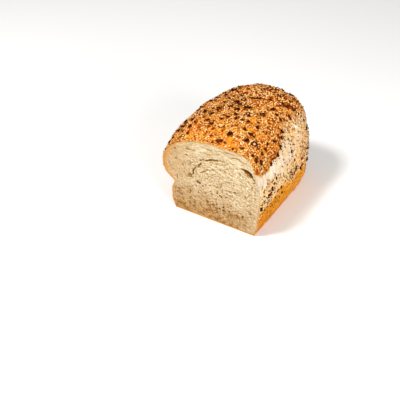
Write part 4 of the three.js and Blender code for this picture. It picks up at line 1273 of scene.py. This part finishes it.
# picture place, length and width as they look in the picture, angle of the long side in degrees, tone
FLAKES = (
    (219.5, 140.8, 8.6, 3.0, 13, 0.5), (230.0, 133.0, 6.0, 4.2, -35, 0.8), (218.5, 108.5, 6.5, 3.8, 10, 0.7), (212.5, 113.0, 5.5, 2.0, 5, 0.9),
    (208.0, 119.0, 4.0, 2.6, -40, 0.8), (212.0, 123.0, 4.0, 2.4, -20, 0.8), (230.0, 105.8, 8.0, 1.4, -4, 0.8), (228.0, 116.0, 4.2, 1.6, 15, 0.95),
    (237.0, 109.0, 6.5, 3.8, 5, 0.8), (236.0, 113.5, 3.6, 3.2, 60, 0.9), (236.0, 118.0, 3.0, 3.8, 0, 0.85), (237.0, 101.5, 5.2, 3.6, 10, 0.85),
    (243.5, 99.5, 4.6, 4.4, -20, 0.8), (240.2, 103.6, 4.0, 2.2, -50, 0.9), (247.0, 106.6, 8.6, 3.2, -35, 0.9), (248.2, 112.6, 4.6, 3.0, 10, 0.8),
    (248.5, 115.2, 4.2, 1.6, 0, 0.95), (262.5, 114.5, 6.0, 5.6, -30, 0.85), (273.0, 109.0, 4.8, 3.0, 10, 0.9), (277.0, 114.5, 3.6, 2.4, 0, 0.9),
    (281.5, 119.0, 3.6, 1.8, 0, 0.8), (245.0, 129.0, 3.2, 3.8, 0, 0.85), (257.5, 127.5, 3.8, 3.2, -35, 0.85), (251.5, 134.3, 5.2, 3.4, 30, 0.95),
    (247.2, 140.0, 4.8, 4.4, -60, 0.95), (255.0, 144.0, 8.4, 5.0, -60, 0.95), (257.0, 161.0, 5.6, 2.8, 80, 0.95),
    (261.5, 162.0, 5.0, 3.4, -75, 0.95), (265.5, 149.0, 3.8, 2.4, -30, 0.9), (282.5, 131.5, 6.0, 2.0, -60, 0.95), (282.5, 138.2, 5.0, 1.7, 88, 0.9),
    (281.0, 147.0, 6.0, 2.8, 85, 0.95), (278.5, 155.0, 4.2, 2.6, 60, 0.9), (272.5, 164.5, 4.8, 2.4, 60, 0.9), (290.0, 117.0, 7.0, 1.6, -60, 0.8),
    (285.0, 104.5, 7.4, 3.8, -45, 0.8), (293.5, 108.5, 5.4, 3.2, -70, 0.7), (257.0, 98.3, 14.0, 1.5, 4, 0.75), (204.5, 111.0, 5.0, 3.2, 30, 0.85),
    (192.0, 119.0, 3.8, 2.4, 10, 0.8), (185.5, 120.5, 4.4, 2.2, 45, 0.9), (189.5, 125.5, 4.2, 2.6, 40, 0.8), (177.5, 130.0, 3.4, 2.2, 50, 0.9),
    (226.0, 94.0, 4.6, 2.2, 10, 0.9), (233.0, 89.8, 9.0, 2.4, 22, 0.8), (248.5, 121.0, 3.2, 2.2, 0, 0.8), (229.0, 97.5, 3.4, 2.2, 0, 0.9),
    (291.5, 95.0, 8.0, 2.4, -45, 0.7), (283.0, 89.5, 5.0, 2.4, -30, 0.8), (292.5, 151.5, 4.2, 2.2, 60, 0.9), (296.0, 168.0, 4.4, 2.6, 70, 0.9),
    (300.5, 167.5, 3.8, 2.2, 70, 0.9), (276.5, 178.0, 4.2, 1.8, 85, 0.8), (272.5, 188.5, 4.4, 3.0, 60, 0.8), (268.5, 196.0, 5.0, 2.8, 70, 0.7),
    (262.0, 209.0, 5.2, 3.6, 50, 0.9), (281.5, 187.0, 3.2, 2.0, 80, 0.8), (282.0, 193.0, 2.8, 2.0, 70, 0.8), (308.5, 158.5, 4.2, 2.4, 90, 0.9),
    (307.5, 128.0, 4.2, 2.0, 80, 0.6), (309.0, 147.0, 6.0, 2.2, 85, 0.5), (304.5, 120.0, 3.2, 2.0, 80, 0.8), (187.0, 133.0, 3.0, 2.2, 30, 0.8),
    (268.0, 144.0, 3.2, 1.8, 60, 0.9), (221.5, 118.0, 3.0, 1.6, 20, 0.9), (243.0, 119.5, 3.0, 1.6, -20, 0.85), (224.0, 101.5, 4.4, 1.8, 12, 0.85),
    (201.5, 107.0, 5.0, 2.4, 50, 0.75), (216.5, 97.5, 3.8, 1.8, 30, 0.85), (169.0, 141.8, 3.4, 1.8, 45, 0.8), (172.8, 137.3, 3.0, 1.6, 50, 0.7),
    (276.8, 184.0, 1.3, 1.0, 60, 0.9), (270.3, 190.8, 1.7, 1.0, 70, 0.9), (274.6, 192.4, 1.1, 0.8, 0, 0.9), (278.2, 189.6, 1.2, 0.8, 20, 0.9),
    (264.5, 201.4, 1.2, 0.8, 50, 0.9), (268.2, 202.6, 1.4, 0.8, 30, 0.9), (272.4, 205.0, 1.3, 0.8, 60, 0.8), (275.0, 201.8, 1.2, 0.7, 10, 0.9),
    (267.3, 206.8, 1.2, 0.8, 80, 0.8), (287.7, 165.0, 1.2, 0.8, 60, 0.9), (284.5, 159.2, 1.2, 0.7, 80, 0.9), (283.2, 166.4, 1.0, 0.7, 0, 0.9),
    (292.3, 174.1, 1.6, 1.0, 60, 0.9), (279.5, 196.5, 1.2, 0.8, 60, 0.9), (266.5, 197.5, 1.2, 0.8, 20, 0.8), (285.5, 181.5, 1.2, 0.8, 60, 0.8),
    (294.2, 173.2, 2.8, 1.8, 60, 0.9), (197.0, 109.5, 3.4, 1.6, 42, 0.7), (181.0, 126.0, 3.4, 1.4, 48, 0.7), (211.0, 100.2, 3.6, 1.6, 35, 0.7),
    (270.5, 99.5, 4.0, 1.8, -10, 0.8), (253.0, 155.5, 3.4, 2.0, -60, 0.9), (262.5, 153.0, 3.2, 2.2, 40, 0.9), (274.0, 141.0, 3.2, 1.8, -70, 0.85),
)
# flakes with a painted highlight in their middle: place in the picture and strength
PAINTED_HIGHLIGHT_MIDDLES = ((262.5, 114.5, 0.55), (255.0, 144.0, 0.98), (285.0, 104.5, 0.5), (251.5, 134.3, 0.4), (243.5, 99.5, 0.9),
                (248.2, 112.6, 0.95), (219.5, 140.8, 0.35), (257.0, 161.0, 0.5), (261.5, 162.0, 0.5), (218.5, 108.5, 0.5), (293.5, 108.5, 0.5))
BROWN = (
    (256.5, 172.5, 6.0, 4.8, 60, 0.35), (241.5, 148.3, 4.4, 3.4, -30, 1.0), (302.0, 158.0, 4.4, 3.6, 60, 0.5),
    (301.5, 164.5, 5.0, 3.0, 80, 0.6), (222.0, 130.0, 3.4, 2.4, 20, 0.6), (212.5, 128.0, 4.0, 2.6, 20, 0.7),
    (274.0, 121.0, 4.0, 2.6, -50, 0.6), (253.5, 101.0, 5.0, 2.6, 10, 0.2), (295.5, 170.5, 3.4, 2.4, 70, 0.5),
    (295.0, 160.0, 3.0, 2.2, 80, 0.5), (270.5, 193.5, 4.4, 3.0, 70, 0.8), (274.5, 183.5, 3.4, 2.2, 60, 0.7), (278.0, 190.5, 3.2, 2.2, 80, 0.7),
    (267.0, 133.5, 3.4, 2.4, 60, 0.7), (199.0, 127.0, 3.6, 2.2, 30, 0.5), (279.0, 128.0, 3.4, 2.4, -60, 0.7),
)


def place_listed(items):
    pos, nor, dirn, size, tone = [], [], [], [], []
    for u, v, ln, wd, ang, tn in items:
        a_ = pixel_place(u, v)
        # a place just outside the outline moves in until the line of sight meets the crust
        k_ = 0
        while a_ is None and k_ < 14:
            k_ += 1
            a_ = pixel_place(u + (238 - u) * 0.012 * k_, v + (160 - v) * 0.012 * k_)
        if a_ is None:
            continue
        _, n_, _ = crust_tree.find(a_)
        p_, m_ = flat_pts[n_], flat_nor[n_]
        w_ = CAM_R * math.cos(math.radians(ang)) + CAM_U * math.sin(math.radians(ang))
        d_ = w_ - m_ * w_.dot(m_)
        if np.linalg.norm(d_) < 0.2:
            d_ = np.cross(m_, CAM_F)
        pos.append(p_)
        nor.append(m_)
        dirn.append(d_ / np.linalg.norm(d_))
        up_ = m_ - 0.42 * CAM_F
        up_ = up_ - dirn[-1] * up_.dot(dirn[-1])
        over_ = np.cross(up_ / np.linalg.norm(up_), dirn[-1])
        seen_l = max(0.55, math.sqrt(max(0.0, 1 - dirn[-1].dot(CAM_F) ** 2)))
        seen_w = max(0.42, math.sqrt(max(0.0, 1 - over_.dot(CAM_F) ** 2)))
        size.append(((ln * 1.42 + 0.6) / seen_l, (wd * 1.45 + 0.6) / seen_w, (ln + wd) * 0.5 + 1.2))
        tone.append(tn)
    return np.array(pos), np.array(nor), np.array(dirn), np.array(size), np.array(tone)


def joined_places(listed, pos, nor, size, tone, r_, tilt):
    lp, ln_, ld, ls, lt = listed
    ang = r_.uniform(0, 2 * np.pi, len(pos))
    ex, ey, ez = frames_on(nor, ang, tilt, r_)
    # they stand up a little at the back, as curled flakes do
    lez = ln_ - 0.42 * CAM_F
    lez = lez - ld * (lez * ld).sum(1, keepdims=True)
    lez /= np.linalg.norm(lez, axis=1, keepdims=True)
    ley = np.cross(lez, ld)
    return (np.concatenate([lp, pos]), (np.concatenate([ld, ex]), np.concatenate([ley, ey]), np.concatenate([lez, ez])),
            np.concatenate([ls, size]), np.concatenate([lt, tone]))


dark_list = place_listed(FLAKES)
brown_list = place_listed(BROWN)
taken = [(p, s[1] * 0.8 + 0.8) for lst in (dark_list, brown_list) for p, s in zip(lst[0], lst[3])]

vis = ((CAM_O - Q) * NQ).sum(-1) > 0
dome_d = domeness * (0.75 + 0.5 * vnoise(P, 22.0, 91))
side_d = (1 - domeness) * (1 - tear) * (1 - foot)
torn_back = tear * step(40.0, 90.0, Y)
clump = np.clip(step(-0.25, 0.45, vnoise(P, 13.0, 92)) * (1 - np.clip(1.2 * patch_gold_and_light, 0, 1)) + 0.6 * patch_dark, 0, 1)
tufts = 0.15 + 0.85 * step(-0.25, 0.45, vnoise(P, 7.5, 94))
side_edge = step(20.0, 40.0, X) * step(14.0, 24.0, Z + 3.0 * vnoise(P, 9.0, 97))
# the first finger's breadth of the side behind the cut is nearly bare
bare_side = 1 - 0.9 * (1 - step(2.5, 9.0, Y + 2.0 * vnoise(P, 7.0, 93)))

# large flakes elsewhere: less where the listed ones already lie
d_on = np.clip((0.06 + 0.30 * clump ** 1.5) * dome_d * (0.6 + 0.5 * step(30, 100, Y)) + 0.24 * side_d * bare_side * tufts + 0.015 * torn_back, 0, 1)
pos, nor, j_, i_, r_ = surface_samples(5200, d_on, 101)
keep = thin_out(pos, 2.9, 900, taken)
pos, nor = pos[keep], nor[keep]
seen = (((CAM_O - pos) * nor).sum(-1) > 0) & (pos[:, 1] < 150)
ln = np.where(seen, 1.7 + 3.0 * r_.random(len(keep)) ** 2, 1.9 + 5.6 * r_.random(len(keep)) ** 2.2)
size = np.stack([ln, ln * r_.uniform(0.35, 0.85, len(keep)), ln * 0.7], -1)
taken += [(p, s[1] * 0.8 + 0.8) for p, s in zip(pos, size)]
pos, axes, size, tone = joined_places(dark_list, pos, nor, size, r_.uniform(0.4, 1, len(keep)), r_, 0.34)
shapes = [ribbon_shape(400 + k, 200 + 16 * (k % 7), 0.34, 0.09) if k % 4 == 2 else
          flake_shape(200 + k, 14, 0.40 if k % 3 else -0.30, 0.14, 0.15) for k in range(23)]
size[:, 2] = np.clip(size[:, 2], 1.3, 5.0)
pos = pos + axes[2] * 0.55
# toasted flakes have a paler middle, a painted highlight, strongest on the listed ones
highlight_paint = 0.85 * r_.random(len(pos)) ** 1.4
for n_, (u_, v_) in enumerate((f_[0], f_[1]) for f_ in FLAKES[:len(dark_list[0])]):
    near_ = min((math.hypot(u_ - a_, v_ - b_), c_) for a_, b_, c_ in PAINTED_HIGHLIGHT_MIDDLES)
    highlight_paint[n_] = near_[1] if near_[0] < 1.8 else 0.15 * highlight_paint[n_]
# the listed ones are flakes, the rest also strips
which = np.arange(len(pos)) % len(shapes)
which[:len(dark_list[0])] -= (which[:len(dark_list[0])] % 4 == 2).astype(int)
scatter_mesh("toasted_onion", shapes, pos, axes, size, tone * 0.35 + 0.65, MAT_ONION, highlight_paint, which)
# the crust is toasted deeper round each of them
spots = kdtree.KDTree(len(pos))
for n_, p_ in enumerate(pos):
    spots.insert(p_, n_)
spots.balance()
halo = np.zeros(len(all_pts))
dome_all = grid(domeness)
for n_ in np.flatnonzero(dome_all > 0.05):
    _, k_, d_ = spots.find(crust_pts[n_])
    halo[n_] = math.exp(-((max(0.0, d_ - 0.35 * size[k_, 0]) / 1.5) ** 2)) * dome_all[n_] * min(1.0, size[k_, 0] / 4.0)
at_ = bread.data.attributes.new("halo", "FLOAT", "POINT")
at_.data.foreach_set("value", halo.astype(np.float32))

# browned bits
d_br = np.clip(0.7 * dome_d * clump + 0.75 * side_d * bare_side * tufts + 0.07 * torn_back, 0, 1)
pos, nor, j_, i_, r_ = surface_samples(6000, d_br, 102)
keep = thin_out(pos, 2.5, 900, taken)
pos, nor = pos[keep], nor[keep]
ln = r_.uniform(1.4, 3.4, len(keep))
size = np.stack([ln, ln * r_.uniform(0.4, 0.8, len(keep)), ln * 0.7], -1)
taken += [(p, s[1] * 0.7 + 0.5) for p, s in zip(pos, size)]
on_side = (1 - grid(domeness)[(j_ * AROUND + i_)[keep]])
pos, axes, size, tone = joined_places(brown_list, pos, nor, size, r_.uniform(0, 1, len(keep)) * (1 - 0.6 * on_side) + 0.6 * on_side, r_, 0.2)
pos = pos + axes[2] * 0.2
shapes = [flake_shape(500 + k, 8, 0.2, 0.24, 0.08) for k in range(17)]
scatter_mesh("browned_onion", shapes, pos, axes, size, tone, MAT_BROWN)

# pale garlic bits
d_pl = np.clip(0.7 * dome_d * (1 - 0.5 * clump) + 0.35 * side_d + 0.15 * torn_back, 0, 1)
pos, nor, j_, i_, r_ = surface_samples(2600, d_pl, 103)
keep = thin_out(pos, 3.0, 380, taken)
pos, nor = pos[keep], nor[keep]
ln = r_.uniform(1.2, 2.8, len(keep))
size = np.stack([ln, ln * r_.uniform(0.5, 0.9, len(keep)), ln * 0.8], -1)
taken += [(p, s[1] * 0.7 + 0.4) for p, s in zip(pos, size)]
axes = frames_on(nor, r_.uniform(0, 6.28, len(keep)), 0.25, r_)
chunk = [flake_shape(300 + k, 7, 0.1, 0.45) for k in range(9)]
scatter_mesh("garlic_bits", chunk, pos + axes[2] * 0.25, axes, size, r_.random(len(keep)), MAT_PALE)

# sesame: close together on the dome, thinner on the side, sparse in the torn band
bare = 1 - 0.85 * (1 - step(4.0, 16.0, Y)) * step(-20.0, 12.0, X) * (1 - step(24.0, 34.0, X)) * domeness
bare = bare * (1 - 0.5 * (1 - step(0.0, 5.0, Y)))
d_se = np.clip(dome_d ** 1.5 * (0.14 + 0.86 * clump) * (1 - 0.72 * patch_gold_and_light) * bare + 0.24 * side_d * bare_side * tufts + 0.04 * torn_back + 0.0015 * tear, 0, 1.2)
pos, nor, j_, i_, r_ = surface_samples(26000, d_se, 104)
keep = thin_out(pos, r_.uniform(1.65, 2.3, len(pos)), 3800, taken)
pos, nor = pos[keep], nor[keep]
print("sesame", len(keep))
ln = r_.normal(3.45, 0.28, len(keep))
size = np.stack([ln, ln * r_.normal(1.02, 0.06, len(keep)), ln], -1)
axes = frames_on(nor, r_.uniform(0, 6.28, len(keep)), 0.16, r_)
sesame = [unit_seed(4, 6, 0.60, 0.29, 0.80), unit_seed(4, 6, 0.56, 0.26, 0.86), unit_seed(4, 6, 0.62, 0.30, 0.76)]
tone = np.clip(r_.beta(1.6, 1.9, len(keep)), 0, 1) * (0.25 + 0.75 * grid(domeness)[(j_ * AROUND + i_)[keep]])
scatter_mesh("sesame_seeds", sesame, pos + axes[2] * 0.28, axes, size, tone, MAT_SESAME)
taken += [(p, 1.1) for p in pos]
seeds_at = kdtree.KDTree(len(pos))
for n_, p_ in enumerate(pos):
    seeds_at.insert(p_, n_)
seeds_at.balance()
# painted shade on the crust close round each sesame seed
seed_contact_shade = np.zeros(len(all_pts))
dome_or_side = grid(0.80 * domeness ** 1.5 + 0.14 * side_d)
for n_ in np.flatnonzero(dome_or_side > 0.05):
    seed_contact_shade[n_] = dome_or_side[n_] * math.exp(-((max(0.0, seeds_at.find(crust_pts[n_])[2] - 0.9) / 0.9) ** 2))
at_ = bread.data.attributes.new("seed_contact_shade", "FLOAT", "POINT")
at_.data.foreach_set("value", seed_contact_shade.astype(np.float32))

# poppy seeds
d_po = np.clip(0.75 * dome_d * bare * (1 - 0.6 * patch_gold_and_light) * (0.4 + 0.6 * clump) + 0.42 * side_d * bare_side * tufts ** 1.8 + 0.012 * torn_back + 0.006 * tear + 0.004 * foot + 0.018 * foot * side_edge, 0, 1)
pos, nor, j_, i_, r_ = surface_samples(14000, d_po, 105)
keep = [k_ for k_ in thin_out(pos, 1.2, 3900, taken) if pos[k_, 2] > 1.5]
pos, nor = pos[keep], nor[keep]
ln = r_.normal(1.30, 0.10, len(keep))
size = np.stack([ln, ln, ln], -1)
axes = frames_on(nor, r_.uniform(0, 6.28, len(keep)), 0.3, r_)
poppy = [unit_seed(3, 6, 0.82, 0.80, 1.0)]
scatter_mesh("poppy_seeds", poppy, pos + axes[2] * 0.22, axes, size,
             np.clip(r_.random(len(keep)) * 0.4 + 0.45 * grid(dome_d)[(j_ * AROUND + i_)[keep]], 0, 1), MAT_POPPY)

specks_at = kdtree.KDTree(len(pos))
for n_, p_ in enumerate(pos):
    specks_at.insert(p_, n_)
specks_at.balance()
speck = np.zeros(len(all_pts))
off_dome = grid(1 - domeness) * (grid(Z) > 1.0)
for n_ in np.flatnonzero(off_dome > 0.05):
    gap_ = min(specks_at.find(crust_pts[n_])[2], max(0.0, spots.find(crust_pts[n_])[2] - 0.8))
    speck[n_] = off_dome[n_] * math.exp(-((max(0.0, gap_ - 0.35) / 0.75) ** 2))
at_ = bread.data.attributes.new("speck", "FLOAT", "POINT")
at_.data.foreach_set("value", speck.astype(np.float32))

# seeds held in the crumb at the cut, most of them along the roll
r_ = np.random.default_rng(106)
pp = []
for _ in range(20):
    dg = r_.choice([r_.uniform(100, 200), r_.uniform(200, 325), r_.uniform(30, 100)], p=[0.35, 0.5, 0.15])
    a_, b_ = roll_point(dg, 0)
    pp.append((float(a_) + r_.normal(0, 0.9), float(b_) + r_.normal(0, 0.9)))
for _ in range(16):
    pp.append((r_.uniform(-50, 58), r_.uniform(2, 26)))
pp = np.array(pp)
pp = pp[(bread_field(pp[:, 0], 0 * pp[:, 0], pp[:, 1])[0] < -1.5)]
dep = sample(height, pp[:, 0], pp[:, 1]) + 0.15 + np.minimum(sample(hollow, pp[:, 0], pp[:, 1]), 1.2)
pos = np.stack([pp[:, 0], np.maximum(dep, 0) + 0.12, pp[:, 1]], -1)
nor = np.tile([0.0, -1.0, 0.0], (len(pos), 1))
ln = r_.normal(1.1, 0.12, len(pos))
axes = frames_on(nor, r_.uniform(0, 6.28, len(pos)), 0.3, r_)
scatter_mesh("rolled_in_seeds", poppy, pos, axes, np.stack([ln, ln, ln], -1), r_.random(len(pos)), MAT_POPPY)

# larger bits that the cut went through
r_ = np.random.default_rng(107)
pp = np.array([on_cut(b_[0], b_[1]) for b_ in CUT_BITS])
dep = sample(height, pp[:, 0], pp[:, 1]) + 0.15 + np.minimum(sample(hollow, pp[:, 0], pp[:, 1]), 1.6)
pos = np.stack([pp[:, 0], np.maximum(dep, 0), pp[:, 1]], -1)
sl = np.array([b_[4] for b_ in CUT_BITS])
ex = np.stack([np.cos(sl), 0 * sl, np.sin(sl)], -1)
ez = np.tile([0.0, -1.0, 0.0], (len(pos), 1))
size = np.array([(b_[2] * 1.45, b_[3] * 1.6, 1.9) for b_ in CUT_BITS])
bits = [flake_shape(600 + k, 7, 0.05, 0.5) for k in range(9)]
MAT_CUT = seed_material("seeds_at_the_cut", [srgb(168, 104, 44), srgb(96, 52, 18), srgb(34, 14, 5)], 0.6, 700, 0.12)
scatter_mesh("onion_bits_at_the_cut", bits, pos, (ex, np.cross(ez, ex), ez), size, np.array([b_[5] for b_ in CUT_BITS]), MAT_CUT)

# ------------------------------------------------------------------ floor and light
bpy.ops.mesh.primitive_plane_add(size=6.0, location=(0, 0, -0.0002))
floor = bpy.context.object
floor.name = "floor"
fm = Mat("floor", 0.9)
fm.b.inputs["Base Color"].default_value = (0.97, 0.97, 0.97, 1)
fm.b.inputs["Specular IOR Level"].default_value = 0.1
floor.data.materials.append(fm.m)

world = bpy.data.worlds.new("studio")
bpy.context.scene.world = world
world.use_nodes = True
wt = world.node_tree
bg = wt.nodes["Background"]
wc = wt.nodes.new("ShaderNodeTexCoord")
sep = wt.nodes.new("ShaderNodeSeparateXYZ")
wt.links.new(wc.outputs["Generated"], sep.inputs[0])
mr = wt.nodes.new("ShaderNodeMapRange")
mr.inputs["From Min"].default_value = -0.12
mr.inputs["From Max"].default_value = 0.12
wt.links.new(sep.outputs["Z"], mr.inputs["Value"])
wm = wt.nodes.new("ShaderNodeMix")
wm.data_type = "RGBA"
wt.links.new(mr.outputs["Result"], wm.inputs["Factor"])
ab = [q for q in wm.inputs if q.type == "RGBA"]
ab[0].default_value = (0.70, 0.54, 0.35, 1)
ab[1].default_value = (0.42, 0.42, 0.415, 1)
wt.links.new([q for q in wm.outputs if q.type == "RGBA"][0], bg.inputs["Color"])
bg.inputs["Strength"].default_value = 1.0
# the floor only takes the shadow: the light from below comes from the surroundings
floor.visible_diffuse = False
floor.visible_glossy = False


def area(name, loc, target, size, power, colour=(1, 1, 1)):
    d = bpy.data.lights.new(name, "AREA")
    d.shape = "SQUARE"
    d.size = size
    d.energy = power
    d.color = colour
    o = bpy.data.objects.new(name, d)
    bpy.context.scene.collection.objects.link(o)
    o.location = loc
    o.rotation_euler = (Vector(target) - Vector(loc)).to_track_quat("-Z", "Y").to_euler()
    return o


area("key", (-0.42, -0.62, 1.20), (0, 0, 0.05), 0.30, 14.0, (1.0, 0.985, 0.96))
area("fill", (1.25, -0.62, 0.62), (0, 0, 0.05), 0.7, 16.5, (1.0, 0.995, 0.985))
bpy.context.scene.view_settings.view_transform = "Standard"
bpy.context.scene.view_settings.look = "None"
